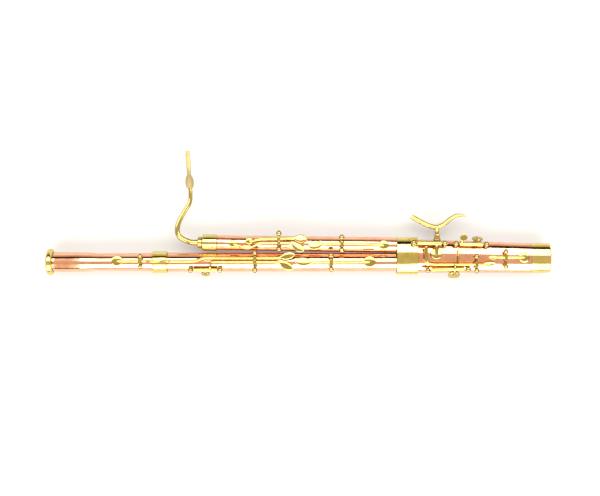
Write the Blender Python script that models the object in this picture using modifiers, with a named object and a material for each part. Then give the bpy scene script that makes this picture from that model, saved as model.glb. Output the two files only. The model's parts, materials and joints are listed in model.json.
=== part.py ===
"""A bassoon lying thumb side up: bell, bass joint, wing joint, boot, bocal, reed and keywork.

Lengths below are millimetres. X runs along the instrument from the bell (-X) to the boot cap (+X),
Y across it, Z up. The origin is under the middle of the bounding box, on the surface it lies on.
"""

import math

import bmesh
import bpy
from mathutils import Matrix, Vector

MM = 0.001
GAP = 0.3                      # clearance between pieces that touch

# --- main proportions -------------------------------------------------------------------------
AXIS_Z = 36.0                  # height of every joint's axis: the bell ring's radius
BASS_Y = -128.2
BELL_X0, BELL_X1 = -655.0, -349.5
BASS_X0, BASS_X1 = -349.0, 260.5
BASS_R0, BASS_R1 = 25.4, 24.4
WING_X0, WING_X1 = -217.0, 260.5
WING_Y0, WING_Y1 = -76.4, -82.8
WING_R0, WING_R1 = 19.9, 20.3
BOOT_X0, BOOT_X1 = 262.0, 618.0
CAP_X1 = 670.0
WALL = 1.6                     # thickness of the drawn metal tubes
BAR_R = 2.7                    # pivot bars
WIRE_R = 3.9                   # key wires
BALL_R = 7.2                   # ball posts

FINGER_HOLES_X = (-20.0, 40.0, 100.0)
OVAL_POWER = 2.1               # 2 is an ellipse; larger is fuller at the corners
OVAL_SEG = 24
MERGE = 0.0001

COLLECTION = "bassoon"


# --- scene and materials ----------------------------------------------------------------------
def clear_scene():
    for obj in list(bpy.data.objects):
        bpy.data.objects.remove(obj)
    for kind in (bpy.data.meshes, bpy.data.materials, bpy.data.curves):
        for block in list(kind):
            kind.remove(block)


def make_collections():
    part = bpy.data.collections.new(COLLECTION)
    tools = bpy.data.collections.new("cutters")
    tools.hide_render = True
    for coll in (part, tools):
        bpy.context.scene.collection.children.link(coll)
    return part, tools


def material(name, colour, roughness, metallic):
    mat = bpy.data.materials.new(name)
    mat.use_nodes = True
    shader = mat.node_tree.nodes["Principled BSDF"]
    shader.inputs["Base Color"].default_value = (*colour, 1.0)
    shader.inputs["Roughness"].default_value = roughness
    shader.inputs["Metallic"].default_value = metallic
    mat.diffuse_color = (*colour, 1.0)
    return mat


clear_scene()
PART, TOOLS = make_collections()
FINISH = {
    "copper": ((0.87, 0.42, 0.23), 0.10, 1.0),
    "brass": ((0.83, 0.62, 0.19), 0.12, 1.0),
    "brown_brass": ((0.60, 0.40, 0.12), 0.16, 1.0),
    "leather": ((0.55, 0.36, 0.20), 0.80, 0.0),
    "cork": ((0.55, 0.36, 0.19), 0.90, 0.0),
    "thread": ((0.35, 0.05, 0.04), 0.85, 0.0),
    "cane": ((0.80, 0.60, 0.28), 0.55, 0.0),
}


# --- mesh building ----------------------------------------------------------------------------
def new_object(name, bm, finish=None, origin=(0.0, 0.0, 0.0), parent=None):
    """Turn a bmesh in millimetres into an object in metres, its origin at the given point."""
    bmesh.ops.recalc_face_normals(bm, faces=bm.faces)
    bmesh.ops.translate(bm, verts=bm.verts, vec=-Vector(origin))
    bmesh.ops.scale(bm, verts=bm.verts, vec=(MM, MM, MM))
    mesh = bpy.data.meshes.new(name)
    bm.to_mesh(mesh)
    bm.free()
    mesh.shade_smooth()
    mesh.set_sharp_from_angle(angle=math.radians(35))
    obj = bpy.data.objects.new(name, mesh)
    obj.location = Vector(origin) * MM
    if finish:
        PART.objects.link(obj)
        mesh.materials.append(material(name + "_finish", *FINISH[finish]))
    else:
        TOOLS.objects.link(obj)
        obj.hide_render = True
        obj.display_type = "WIRE"
    if parent:
        obj.parent = parent
        # Nothing is turned, so a parent's location is its place in the world.
        obj.matrix_parent_inverse = Matrix.Translation(-parent.location)
    return obj


def combine(obj, others, operation):
    for number, other in enumerate(others):
        mod = obj.modifiers.new(f"{operation.lower()}_{number}", "BOOLEAN")
        mod.operation = operation
        mod.solver = "EXACT"
        mod.object = other
    return obj


def join(obj, others):
    return combine(obj, others, "UNION")


def cut(obj, others):
    return combine(obj, others, "DIFFERENCE")


def frame_of(direction, up):
    """Two unit vectors square to the direction: the first sideways, the second nearest to up."""
    side = direction.cross(up)
    if side.length < 1e-6:
        side = direction.cross(Vector((1.0, 0.0, 0.0)))
    side.normalize()
    return side, side.cross(direction).normalized()


def skin(bm, rings, closed=False, caps=True):
    """Join consecutive rings of vertices with quads; a ring of one vertex is a pole."""
    pairs = list(zip(rings, rings[1:]))
    if closed:
        pairs.append((rings[-1], rings[0]))
    for a, b in pairs:
        n = max(len(a), len(b))
        for i in range(n):
            j = (i + 1) % n
            if len(a) == 1:
                bm.faces.new((a[0], b[i], b[j]))
            elif len(b) == 1:
                bm.faces.new((a[i], b[0], a[j]))
            else:
                bm.faces.new((a[i], b[i], b[j], a[j]))
    if caps and not closed:
        for ring in (rings[0], rings[-1]):
            if len(ring) > 2:
                bm.faces.new(ring)


def mesh_of(obj):
    """The object's evaluated mesh as a bmesh in world space; the object is then removed."""
    graph = bpy.context.evaluated_depsgraph_get()
    mesh = bpy.data.meshes.new_from_object(obj.evaluated_get(graph))
    bm = bmesh.new()
    bm.from_mesh(mesh)
    bmesh.ops.transform(bm, verts=bm.verts, matrix=obj.matrix_world)
    data = obj.data
    bpy.data.objects.remove(obj)
    for block in (mesh, data):
        (bpy.data.curves if isinstance(block, bpy.types.Curve) else bpy.data.meshes).remove(block)
    return bm


def aimed(start, end):
    """A matrix that puts the origin at start and local Z towards end."""
    direction = Vector(end) - Vector(start)
    return Matrix.Translation(start) @ direction.to_track_quat("Z", "Y").to_matrix().to_4x4()


def revolve(profile, start, end, seg=32, closed=False):
    """Turn (distance, radius) pairs about the line from start towards end, by a Screw modifier."""
    points = [(radius, 0.0, distance) for distance, radius in profile]
    area = sum(p[0] * q[2] - q[0] * p[2] for p, q in zip(points, points[1:] + points[:1]))
    if area > 0:
        points.reverse()
    edges = [(i, i + 1) for i in range(len(points) - 1)]
    if closed:
        edges.append((len(points) - 1, 0))
    mesh = bpy.data.meshes.new("profile")
    mesh.from_pydata(points, edges, [])
    obj = bpy.data.objects.new("profile", mesh)
    obj.matrix_world = aimed(start, end)
    TOOLS.objects.link(obj)
    screw = obj.modifiers.new("turn", "SCREW")
    screw.axis = "Z"
    screw.steps = screw.render_steps = seg
    screw.use_merge_vertices = True
    screw.merge_threshold = MERGE
    bpy.context.view_layer.update()
    bm = mesh_of(obj)
    bmesh.ops.holes_fill(bm, edges=[e for e in bm.edges if e.is_boundary], sides=0)
    return bm


def rod(points, seg):
    """A round wire or tube along (x, y, z, radius) points: a curve with a bevel and filled caps."""
    curve = bpy.data.curves.new("rod", "CURVE")
    curve.dimensions = "3D"
    curve.bevel_depth = 1.0
    curve.bevel_resolution = (seg - 4) // 2
    curve.use_fill_caps = True
    spline = curve.splines.new("POLY")
    spline.points.add(len(points) - 1)
    for control, (x, y, z, radius) in zip(spline.points, points):
        control.co = (x, y, z, 1.0)
        control.radius = radius
    obj = bpy.data.objects.new("rod", curve)
    TOOLS.objects.link(obj)
    bpy.context.view_layer.update()
    bm = mesh_of(obj)
    bmesh.ops.remove_doubles(bm, verts=bm.verts, dist=MERGE)
    return bm


def catmull(points, steps):
    """Points with any number of components, smoothed through every given point."""
    out = []
    last = len(points) - 1
    for i in range(last):
        p0, p1, p2, p3 = (points[max(0, min(last, i + k))] for k in (-1, 0, 1, 2))
        for s in range(steps):
            t = s / steps
            out.append(tuple(
                0.5 * (2 * b + (c - a) * t + (2 * a - 5 * b + 4 * c - d) * t * t
                       + (3 * b - a - 3 * c + d) * t ** 3)
                for a, b, c, d in zip(p0, p1, p2, p3)
            ))
    out.append(tuple(points[last]))
    return out


def sweep(path, seg=8, steps=2, up=(0.0, 0.0, 1.0)):
    """A bar along (x, y, z, half width, half height) points: a rod, or a loft where they differ."""
    points = catmull(path, steps) if steps > 1 else path
    if all(abs(point[3] - point[4]) < MERGE for point in points):
        return rod([point[:4] for point in points], seg)
    bm = bmesh.new()
    rings = []
    for i, point in enumerate(points):
        here = Vector(point[:3])
        before = Vector(points[max(0, i - 1)][:3])
        after = Vector(points[min(len(points) - 1, i + 1)][:3])
        side, rise = frame_of((after - before).normalized(), Vector(up))
        ring = []
        for k in range(seg):
            a = 2 * math.pi * k / seg
            ring.append(bm.verts.new(here + side * math.cos(a) * point[3]
                                     + rise * math.sin(a) * point[4]))
        rings.append(ring)
    skin(bm, rings)
    return bm


def oval_ring(bm, x, yc, half, height):
    """One section across the boot: an oval a little fuller than an ellipse."""
    ring = []
    for i in range(OVAL_SEG):
        a = 2 * math.pi * (i + 0.5) / OVAL_SEG
        c, s = math.cos(a), math.sin(a)
        across = math.copysign(abs(c) ** (2 / OVAL_POWER), c)
        rise = math.copysign(abs(s) ** (2 / OVAL_POWER), s)
        ring.append(bm.verts.new((x, yc + half * across, AXIS_Z + height * rise)))
    return ring


def oval(stations, closed=False):
    bm = bmesh.new()
    skin(bm, [oval_ring(bm, *station) for station in stations], closed)
    return bm


def oval_rise(x, y):
    """Height of the boot's surface above its axis at (x, y)."""
    yc, half, height = boot_section(x)
    return height * (1 - abs((y - yc) / half) ** OVAL_POWER) ** (1 / OVAL_POWER)


def stadium_ring(bm, x, yc, half, radius, seg):
    """One section across the boot: two half circles joined by flats above and below."""
    offset = half - radius
    ring = []
    for i in range(seg + 1):
        a = -math.pi / 2 + math.pi * i / seg
        ring.append((yc + offset + radius * math.cos(a), AXIS_Z + radius * math.sin(a)))
    for i in range(seg + 1):
        a = math.pi / 2 + math.pi * i / seg
        ring.append((yc - offset + radius * math.cos(a), AXIS_Z + radius * math.sin(a)))
    return [bm.verts.new((x, y, z)) for y, z in ring]


def stadium(stations, seg=10, closed=False):
    bm = bmesh.new()
    skin(bm, [stadium_ring(bm, *station, seg) for station in stations], closed)
    return bm


def cylinder(start, end, radius, seg=20):
    length = (Vector(end) - Vector(start)).length
    bm = bmesh.new()
    bmesh.ops.create_cone(bm, cap_ends=True, segments=seg, radius1=radius, radius2=radius,
                          depth=length,
                          matrix=aimed(start, end) @ Matrix.Translation((0, 0, length / 2)))
    return bm


def ball(centre, radius=BALL_R):
    bm = bmesh.new()
    # Turned a little, so that no edge of the ball runs along an edge of its bar or leg.
    turned = Matrix.Translation(centre) @ Matrix.Rotation(0.21, 4, (0.6, 0.64, 0.48))
    bmesh.ops.create_uvsphere(bm, u_segments=10, v_segments=5, radius=radius, matrix=turned)
    return bm


# --- where things are -------------------------------------------------------------------------
def wing_y(x):
    return WING_Y0 + (WING_Y1 - WING_Y0) * (x - WING_X0) / (WING_X1 - WING_X0)


def wing_radius(x):
    return WING_R0 + (WING_R1 - WING_R0) * (x - WING_X0) / (WING_X1 - WING_X0)


def bass_radius(x):
    return BASS_R0 + (BASS_R1 - BASS_R0) * (x - BASS_X0) / (BASS_X1 - BASS_X0)


def boot_section(x):
    """Centre, half width and half height of the boot at x."""
    t = (x - 318.0) / (BOOT_X1 - 318.0)
    return -112.0 - 5.2 * t, 44.2 - 4.6 * t, 24.2 - 0.4 * t


def on_tube(y, radius, angle, height):
    """The (y, z) at this height above a tube, angle degrees from the top towards +Y."""
    a = math.radians(angle)
    return y + (radius + height) * math.sin(a), AXIS_Z + (radius + height) * math.cos(a)


# --- joints -----------------------------------------------------------------------------------
def chimney(start, end, radius):
    return new_object("chimney", cylinder(start, end, radius, 16))


def drill(start, end, radius, seg=12):
    return new_object("drill", cylinder(start, end, radius, seg))


def make_boot():
    """A shell open under its cap, with a small and a large bore tube that run its whole length."""
    stations = [(BOOT_X0, -111.6, 46.4, 24.3), (317.2, -111.6, 46.4, 24.3)]
    for x in (317.9, 400.0, 500.0, 617.3):
        stations.append((x, *boot_section(x)))
    stations += [(617.4, -117.2, 37.3, 22.6), (628.0, -117.2, 37.3, 22.6)]
    body = new_object("boot_body", oval(stations), "copper", (300.0, -112.0, AXIS_Z))
    hollow = [(266.0, -111.6, 44.6, 22.5), (318.6, -111.6, 44.0, 22.3)]
    for x in (322.0, 616.0):
        yc, half, height = boot_section(x)
        hollow.append((x, yc, half - 2.0, height - 2.0))
    hollow += [(616.5, -117.2, 35.6, 20.9), (640.0, -117.2, 35.6, 20.9)]
    cut(body, [new_object("boot_hollow", oval(hollow))])
    z = AXIS_Z
    large = [(0.0, 21.9), (34.5, 21.9), (40.0, 13.0), (364.2, 12.6)]
    small = [(0.0, 16.8), (34.5, 16.8), (40.0, 9.8), (364.2, 9.8)]
    add = [
        new_object("large_tube", revolve(large, (263.5, -128.2, z), (628.0, -135.2, z), 20)),
        new_object("small_tube", revolve(small, (263.5, -82.8, z), (628.0, -98.7, z), 16)),
        chimney((364.0, -105.0, 33.0), (364.0, -105.0, 61.6), 11.5),
        chimney((595.9, -115.2, 33.0), (595.9, -115.2, 61.4), 11.0),
        chimney((412.0, -143.0, 39.5), (412.0, -156.8, 45.0), 12.0),
        chimney((475.0, -84.5, 38.5), (475.0, -71.5, 41.4), 11.0),
        *[chimney((x, -83.4 - 0.0456 * (x - 290.0), 29.0), (x, -85.0, 11.2), 6.0)
          for x in (338.0, 382.0)],
    ]
    join(body, add)
    bores = [
        drill((255.0, -128.2, z), (297.5, -128.2, z), 20.8, 24),
        drill((255.0, WING_Y1 + 0.1, z), (297.5, -83.3, z), 15.8, 24),
        drill((290.0, -128.7, z), (640.0, -135.4, z), 11.0, 16),
        drill((290.0, -84.0, z), (640.0, -99.2, z), 8.0, 14),
        drill((364.0, -107.6, 64.6), (364.0, -89.0, 36.0), 5.5),
        drill((595.9, -113.6, 64.2), (595.9, -131.0, 37.0), 6.0),
        drill((412.0, -170.0, 50.3), (412.0, -131.0, z), 6.5),
        drill((475.0, -52.9, 45.5), (475.0, -91.6, z), 5.5),
    ]
    for x in (338.0, 382.0):
        bores.append(drill((x, -84.0 - 0.0434 * (x - 290.0), z), (x, -85.0, 2.0), 4.0))
    return cut(body, bores)


def make_boot_ferrule(body):
    ring = [
        (261.0, -111.6, 48.6, 26.4), (262.0, -111.6, 49.4, 27.2), (316.0, -111.6, 49.4, 27.2),
        (316.9, -111.6, 48.6, 26.4), (316.9, -111.6, 46.8, 24.7), (261.0, -111.6, 46.8, 24.7),
    ]
    return new_object("boot_ferrule", oval(ring, closed=True), "brass", parent=body)


def make_boot_cap(body):
    y, half, radius = -117.3, 39.5, 24.7
    outside = [(618.0, y, half, radius), (666.0, y, half, radius),
               (668.8, y, half - 1.0, radius - 1.0), (CAP_X1, y, half - 3.6, radius - 3.6)]
    inside = [(667.6, y, half - 4.6, radius - 4.6), (665.6, y, half - 1.7, radius - 1.7),
              (618.0, y, half - 1.7, radius - 1.7)]
    bm = bmesh.new()
    outer = [oval_ring(bm, *station) for station in outside]
    inner = [oval_ring(bm, *station) for station in inside]
    skin(bm, outer, caps=False)
    skin(bm, inner, caps=False)
    skin(bm, [inner[-1], outer[0]], caps=False)
    bm.faces.new(inner[0])
    centre = [bm.verts.new((CAP_X1, y + 14.0 * math.cos(a), AXIS_Z + 14.0 * math.sin(a)))
              for a in (2 * math.pi * k / 3 for k in range(3))]
    bm.faces.new(centre)
    rim = [e for e in bm.edges if e.is_boundary]
    bmesh.ops.bridge_loops(bm, edges=rim)
    return new_object("boot_cap", bm, "brass", (644.0, -117.3, AXIS_Z), body)


def make_u_tube(body):
    ya, yb, x0 = -98.7, -135.3, 632.5
    mid, bend = (ya + yb) / 2, (ya - yb) / 2
    path = [(x0, ya), (x0 + 3, ya)]
    for i in range(1, 8):
        a = math.pi * i / 8
        path.append((x0 + 5 + bend * math.sin(a), mid + bend * math.cos(a)))
    path += [(x0 + 3, yb), (x0, yb)]
    bar = [(x, y, AXIS_Z, 10.6, 10.6) for x, y in path]
    tube = new_object("u_tube", sweep(bar, 12, 1), "brass", parent=body)
    plate = [(630.6, mid, 33.5, 15.0), (633.2, mid, 33.5, 15.0)]
    join(tube, [new_object("u_plate", stadium(plate))])
    hole = [(x0 - 6, ya), (x0 - 2, ya)] + path[1:-1] + [(x0 - 2, yb), (x0 - 6, yb)]
    inner = [(x, y, AXIS_Z, 8.4, 8.4) for x, y in hole]
    return cut(tube, [new_object("u_bore", sweep(inner, 12, 1))])


def make_gasket(body):
    mid = -117.0
    plate = [(628.3, mid, 33.5, 15.0), (630.3, mid, 33.5, 15.0)]
    gasket = new_object("u_tube_gasket", stadium(plate), "cork", parent=body)
    return cut(gasket, [
        drill((620.0, -98.7, AXIS_Z), (640.0, -98.7, AXIS_Z), 8.6),
        drill((620.0, -135.3, AXIS_Z), (640.0, -135.3, AXIS_Z), 11.2),
    ])


def make_bass(body):
    length = BASS_X1 - BASS_X0
    profile = [
        (-33.0, 19.6), (-0.3, 19.6), (0.0, BASS_R0 - 0.7), (0.9, BASS_R0),
        (length - 0.9, BASS_R1), (length, BASS_R1 - 0.7), (length + 0.3, 19.0),
        (length + 35.0, 19.0), (length + 35.0, 12.0), (-33.0, 15.5), (-33.0, 17.1),
        (length - 4.0, 13.8), (length - 4.0, BASS_R1 - WALL), (3.0, BASS_R0 - WALL),
        (3.0, 18.0), (-33.0, 18.0),
    ]
    tube = new_object(
        "bass_tube",
        revolve(profile, (BASS_X0, BASS_Y, AXIS_Z), (BASS_X1, BASS_Y, AXIS_Z), 24, closed=True),
        "copper", (BASS_X1, BASS_Y, AXIS_Z), body,
    )
    side_y, side_z = on_tube(BASS_Y, 25.2, -75.0, 1.6)
    out_y, out_z = on_tube(BASS_Y, 25.2, -75.0, 20.0)
    join(tube, [
        chimney((186.8, -127.4, 46.5), (186.8, -127.4, 62.3), 14.0),
        chimney((-247.0, *on_tube(BASS_Y, 15.5, -75.0, 0.0)), (-247.0, side_y, side_z), 10.5),
    ])
    return cut(tube, [
        drill((186.8, -127.4, 75.0), (186.8, -127.4, AXIS_Z), 8.0),
        drill((-247.0, out_y, out_z), (-247.0, BASS_Y, AXIS_Z), 7.0),
    ])


def make_bell(bass):
    x0 = BELL_X0
    profile = [
        (0.0, 25.6), (15.0, 26.0), (72.0, 26.0), (100.0, 24.6), (126.0, 23.4), (175.0, 23.4),
        (266.5, 24.4), (305.5, 24.4), (305.5, 20.7), (271.0, 20.7), (262.0, 24.2 - WALL),
        (175.0, 23.4 - WALL), (126.0, 23.4 - WALL), (100.0, 24.6 - WALL), (72.0, 26.0 - WALL),
        (0.0, 25.6 - WALL),
    ]
    tube = new_object(
        "bell_tube",
        revolve(profile, (x0, BASS_Y, AXIS_Z), (BELL_X1, BASS_Y, AXIS_Z), 24, closed=True),
        "copper", (BELL_X1, BASS_Y, AXIS_Z), bass,
    )
    join(tube, [chimney((-478.3, -125.2, 53.5), (-478.3, -125.2, 61.2), 12.5)])
    return cut(tube, [drill((-478.3, -125.2, 75.0), (-478.3, -126.0, AXIS_Z), 8.0)])


def make_rings(bell):
    rim = [(8.5 + 9.2 * math.cos(a), 28.0 + 8.66 * math.sin(a))
           for a in (2 * math.pi * (i + 0.5) / 8 for i in range(8))]
    rim = [(d, max(r, 22.4)) for d, r in rim]
    ring = new_object(
        "bell_ring",
        revolve(rim, (-670.0, BASS_Y, AXIS_Z), (0.0, BASS_Y, AXIS_Z), 28, closed=True),
        "brass", (-661.5, BASS_Y, AXIS_Z), bell,
    )
    cut(ring, [drill((-655.3, BASS_Y, AXIS_Z), (-640.0, BASS_Y, AXIS_Z), 26.3, 28)])
    band = [(0.0, 28.0), (1.0, 28.9), (38.4, 28.9), (39.4, 28.0), (39.4, 24.7), (0.0, 24.7)]
    new_object(
        "bell_ferrule",
        revolve(band, (-388.6, BASS_Y, AXIS_Z), (0.0, BASS_Y, AXIS_Z), 24, closed=True),
        "brass", (-369.0, BASS_Y, AXIS_Z), bell,
    )


def make_wing(body):
    start, end = Vector((WING_X0, WING_Y0, AXIS_Z)), Vector((WING_X1, WING_Y1, AXIS_Z))
    length = (end - start).length
    profile = [
        (-22.0, 15.0), (-0.3, 15.0), (0.0, WING_R0 - 0.6), (0.8, WING_R0),
        (length - 0.8, WING_R1), (length, WING_R1 - 0.6), (length + 0.3, 14.2),
        (length + 35.0, 14.2), (length + 35.0, 7.5), (-22.0, 5.0), (-22.0, 6.8),
        (length - 4.0, 9.4), (length - 4.0, WING_R1 - WALL), (3.0, WING_R0 - WALL), (3.0, 13.2),
        (-22.0, 13.2),
    ]
    tube = new_object(
        "wing_tube", revolve(profile, start, end, 20, closed=True), "copper", end, body
    )
    join(tube, [
        chimney((-173.2, -79.2, 41.0), (-173.2, -79.2, 58.2), 8.5),
        chimney((-130.0, -72.5, 38.0), (-130.0, -72.5, 58.2), 8.0),
        chimney((224.5, -83.0, 42.0), (224.5, -83.0, 58.4), 10.5),
        *[chimney((x, wing_y(x), 28.4), (x, wing_y(x), 17.4), 5.4) for x in FINGER_HOLES_X],
    ])
    holes = [(-173.2, -79.2, 3.5), (-130.0, -72.5, 3.5), (224.5, -83.0, 4.5)]
    drills = [drill((x, y, 75.0), (x, wing_y(x), AXIS_Z), r) for x, y, r in holes]
    for x in FINGER_HOLES_X:
        drills.append(drill((x, wing_y(x), AXIS_Z), (x, wing_y(x), 2.0), 3.2))
    return cut(tube, drills)


def make_wing_head(wing):
    along = (Vector((WING_X1, WING_Y1, AXIS_Z)) - Vector((WING_X0, WING_Y0, AXIS_Z))).normalized()
    start = Vector((WING_X0, WING_Y0, AXIS_Z))
    band = [(-39.6, 19.0), (-38.0, 21.4), (-36.6, 22.0), (-1.4, 22.0), (-0.3, 21.0), (-0.3, 15.3),
            (-22.3, 15.3), (-22.6, 12.1), (-39.6, 12.1)]
    new_object(
        "wing_ferrule", revolve(band, start, start + along, 24, closed=True), "brass",
        start, wing,
    )
    cup = [(-51.5, 10.2), (-51.5, 13.4), (-50.0, 14.9), (-41.4, 14.9), (-39.9, 14.0),
           (-39.9, 11.8), (-22.6, 11.8), (-22.6, 8.9), (-46.0, 9.4)]
    new_object(
        "bocal_receiver", revolve(cup, start, start + along, 20, closed=True), "brown_brass",
        start + along * -51.5, wing,
    )


def make_wraps(bass, wing):
    """Waxed thread wound on the tenons, so that the joints hold in their sockets."""
    new_object(
        "bass_upper_wrap",
        revolve([(-30.0, 19.9), (-30.0, 20.4), (-4.0, 20.4), (-4.0, 19.9)],
                (BASS_X0, BASS_Y, AXIS_Z), (BASS_X1, BASS_Y, AXIS_Z), 24, closed=True),
        "thread", (BASS_X0, BASS_Y, AXIS_Z), bass,
    )
    new_object(
        "bass_lower_wrap",
        revolve([(5.0, 19.3), (5.0, 20.3), (32.0, 20.3), (32.0, 19.3)],
                (BASS_X1, BASS_Y, AXIS_Z), (BASS_X1 + 100, BASS_Y, AXIS_Z), 24, closed=True),
        "thread", (BASS_X1, BASS_Y, AXIS_Z), bass,
    )
    start, end = Vector((WING_X0, WING_Y0, AXIS_Z)), Vector((WING_X1, WING_Y1, AXIS_Z))
    new_object(
        "wing_wrap",
        revolve([(5.0, 14.5), (5.0, 15.3), (32.0, 15.3), (32.0, 14.5)],
                end, end + (end - start), 32, closed=True),
        "thread", end, wing,
    )


def make_bocal(wing):
    path = [
        (-243.0, -76.05, 7.4), (-252.0, -75.93, 7.4), (-268.1, -75.71, 7.4), (-287.0, -75.0, 7.3),
        (-305.7, -68.2, 7.1), (-318.7, -58.9, 6.9), (-323.3, -45.9, 6.8), (-321.4, -27.2, 6.6),
        (-313.1, -8.5, 6.3), (-301.9, 10.1, 6.0), (-292.6, 25.1, 5.8), (-288.6, 38.0, 5.6),
        (-288.2, 52.0, 5.5), (-288.8, 66.0, 5.3), (-290.4, 82.0, 5.0),
    ]
    bocal = new_object("bocal_tube", rod([(x, y, AXIS_Z, r) for x, y, r in path], 12), "brass",
                       (-268.5, -75.7, AXIS_Z), wing)
    bore = [(x, y, AXIS_Z, 4.6 - 2.2 * i / 14) for i, (x, y, _) in enumerate(path)]
    bore = [(-240.0, -76.1, AXIS_Z, 4.6), *bore[:-1], (-290.7, 85.0, AXIS_Z, 2.4)]
    cut(bocal, [new_object("bocal_bore", rod(bore, 12))])
    new_object(
        "bocal_cork",
        revolve([(0.0, 7.8), (0.0, 8.5), (17.0, 8.6), (17.0, 7.8)],
                (-243.5, wing_y(-243.5), AXIS_Z), (-300.0, wing_y(-300.0), AXIS_Z), 20,
                closed=True),
        "cork", (-243.5, wing_y(-243.5), AXIS_Z), bocal,
    )
    return bocal


def make_reed(bocal):
    start, end = Vector((-289.2, 68.5, AXIS_Z)), Vector((-292.6, 103.5, AXIS_Z))
    bulb = [(0.0, 5.7), (0.0, 7.2), (4.0, 9.6), (10.0, 11.4), (16.0, 11.7), (22.0, 11.2),
            (29.0, 9.2), (34.0, 7.0), (35.0, 6.2), (35.0, 5.7)]
    binding = new_object("reed_binding", revolve(bulb, start, end, 20, closed=True), "thread",
                         start, bocal)
    tip = Vector((-296.2, 169.3, AXIS_Z))
    for name, sign in (("reed_blade_upper", 1.0), ("reed_blade_lower", -1.0)):
        bm = bmesh.new()
        rings = []
        for t, wide, thick, lift in ((0.0, 4.6, 2.6, 0.35), (0.35, 5.4, 2.8, 0.35),
                                     (0.45, 6.0, 2.7, 0.35), (0.75, 6.6, 1.7, 0.3),
                                     (1.0, 6.9, 0.7, 0.2)):
            base = Vector((-290.9, 86.0, AXIS_Z))
            centre = base + (tip - base) * t
            across = (tip - base).normalized().cross(Vector((0, 0, 1)))
            ring = []
            for i in range(9):
                a = math.pi * i / 8
                ring.append(bm.verts.new(centre + across * wide * math.cos(a)
                                         + Vector((0, 0, sign * (lift + thick * math.sin(a))))))
            rings.append(ring)
        skin(bm, rings)
        new_object(name, bm, "cane", (-290.9, 86.0, AXIS_Z), binding)
    return binding


# --- keywork ----------------------------------------------------------------------------------
def posts(name, ends, feet, parent, bar_r=BAR_R, ball_r=BALL_R):
    """A pivot bar between two balls, each ball on a leg. A foot is (point above, point at tube)."""
    a, b = Vector(ends[0]), Vector(ends[1])
    bar = new_object(name, cylinder(a, b, bar_r, 10), "brass", (a + b) / 2, parent)
    extra = []
    for centre, (knee, foot) in zip((a, b), feet):
        extra.append(new_object("ball", ball(centre, ball_r)))
        direction = (Vector(foot) - Vector(knee)).normalized()
        path = [(*centre, 2.8, 2.8), (*knee, 2.8, 2.8), (*foot, 3.4, 3.4)]
        side = Vector((1.0, 0.0, 0.0))
        if abs(direction.x) > 0.9:
            side = Vector((0.0, 1.0, 0.0))
        extra.append(new_object("leg", sweep(path, 6, 1, up=side)))
    return join(bar, extra)


def tube_foot(x, y, radius, angle, knee=6.0):
    """Knee and foot of a leg that stands square on a tube."""
    return tuple((x, *on_tube(y, radius, angle, h)) for h in (knee, GAP + 0.1))


def cup(centre, radius, direction=(0.0, 0.0, 1.0), height=5.0):
    """A shallow dished cup, open below for its pad; centre is the middle of its rim."""
    start = Vector(centre)
    profile = [
        (0.0, radius - 0.9), (0.0, radius), (height * 0.45, radius), (height * 0.8, radius * 0.75),
        (height, radius * 0.35), (height * 1.05, 0.0),
    ]
    inside = [(2.4, 0.0), (2.4, radius - 0.9)]
    return new_object("cup", revolve(inside + profile, start, start + Vector(direction), 14))


def pad(name, centre, radius, parent, direction=(0.0, 0.0, 1.0)):
    start = Vector(centre)
    profile = [(-0.8, 0.0), (-0.8, radius - 2.4), (0.0, radius - 1.2), (2.1, radius - 1.2),
               (2.1, 0.0)]
    return new_object(name, revolve(profile, start, start + Vector(direction), 14), "leather",
                      start, parent)


def lever(name, path, pivot, along, parent, barrel=5.0, extra=(), steps=1, finish="brass",
          barrel_r=5.6):
    """A key: a swept wire, a hinge barrel about its pivot and whatever is soldered to it."""
    pivot, along = Vector(pivot), Vector(along).normalized()
    key = new_object(name, sweep(path, 8, steps), finish, pivot, parent)
    tube = new_object("barrel", cylinder(pivot - along * barrel, pivot + along * barrel,
                                         barrel_r, 12))
    join(key, [tube, *extra])
    hole = new_object("pivot_hole", cylinder(pivot - along * (barrel + 6),
                                             pivot + along * (barrel + 6), BAR_R + GAP, 10))
    return cut(key, [hole])


def spatula(start, end, width, thick=1.7, point=0.35, z=0.0, dish=0.0):
    """Touch plate stations from the wire's end to the tip."""
    a, b = Vector(start), Vector(end)
    out = []
    for t, w in ((0.0, 0.45), (0.22, 0.86), (0.5, 1.0), (0.75, 0.84), (0.93, point), (1.0, 0.08)):
        p = a + (b - a) * t
        out.append((p.x, p.y, p.z + z + dish * math.sin(math.pi * t), width * w,
                    thick * (1.0 if t < 0.9 else 0.7)))
    return out


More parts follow.
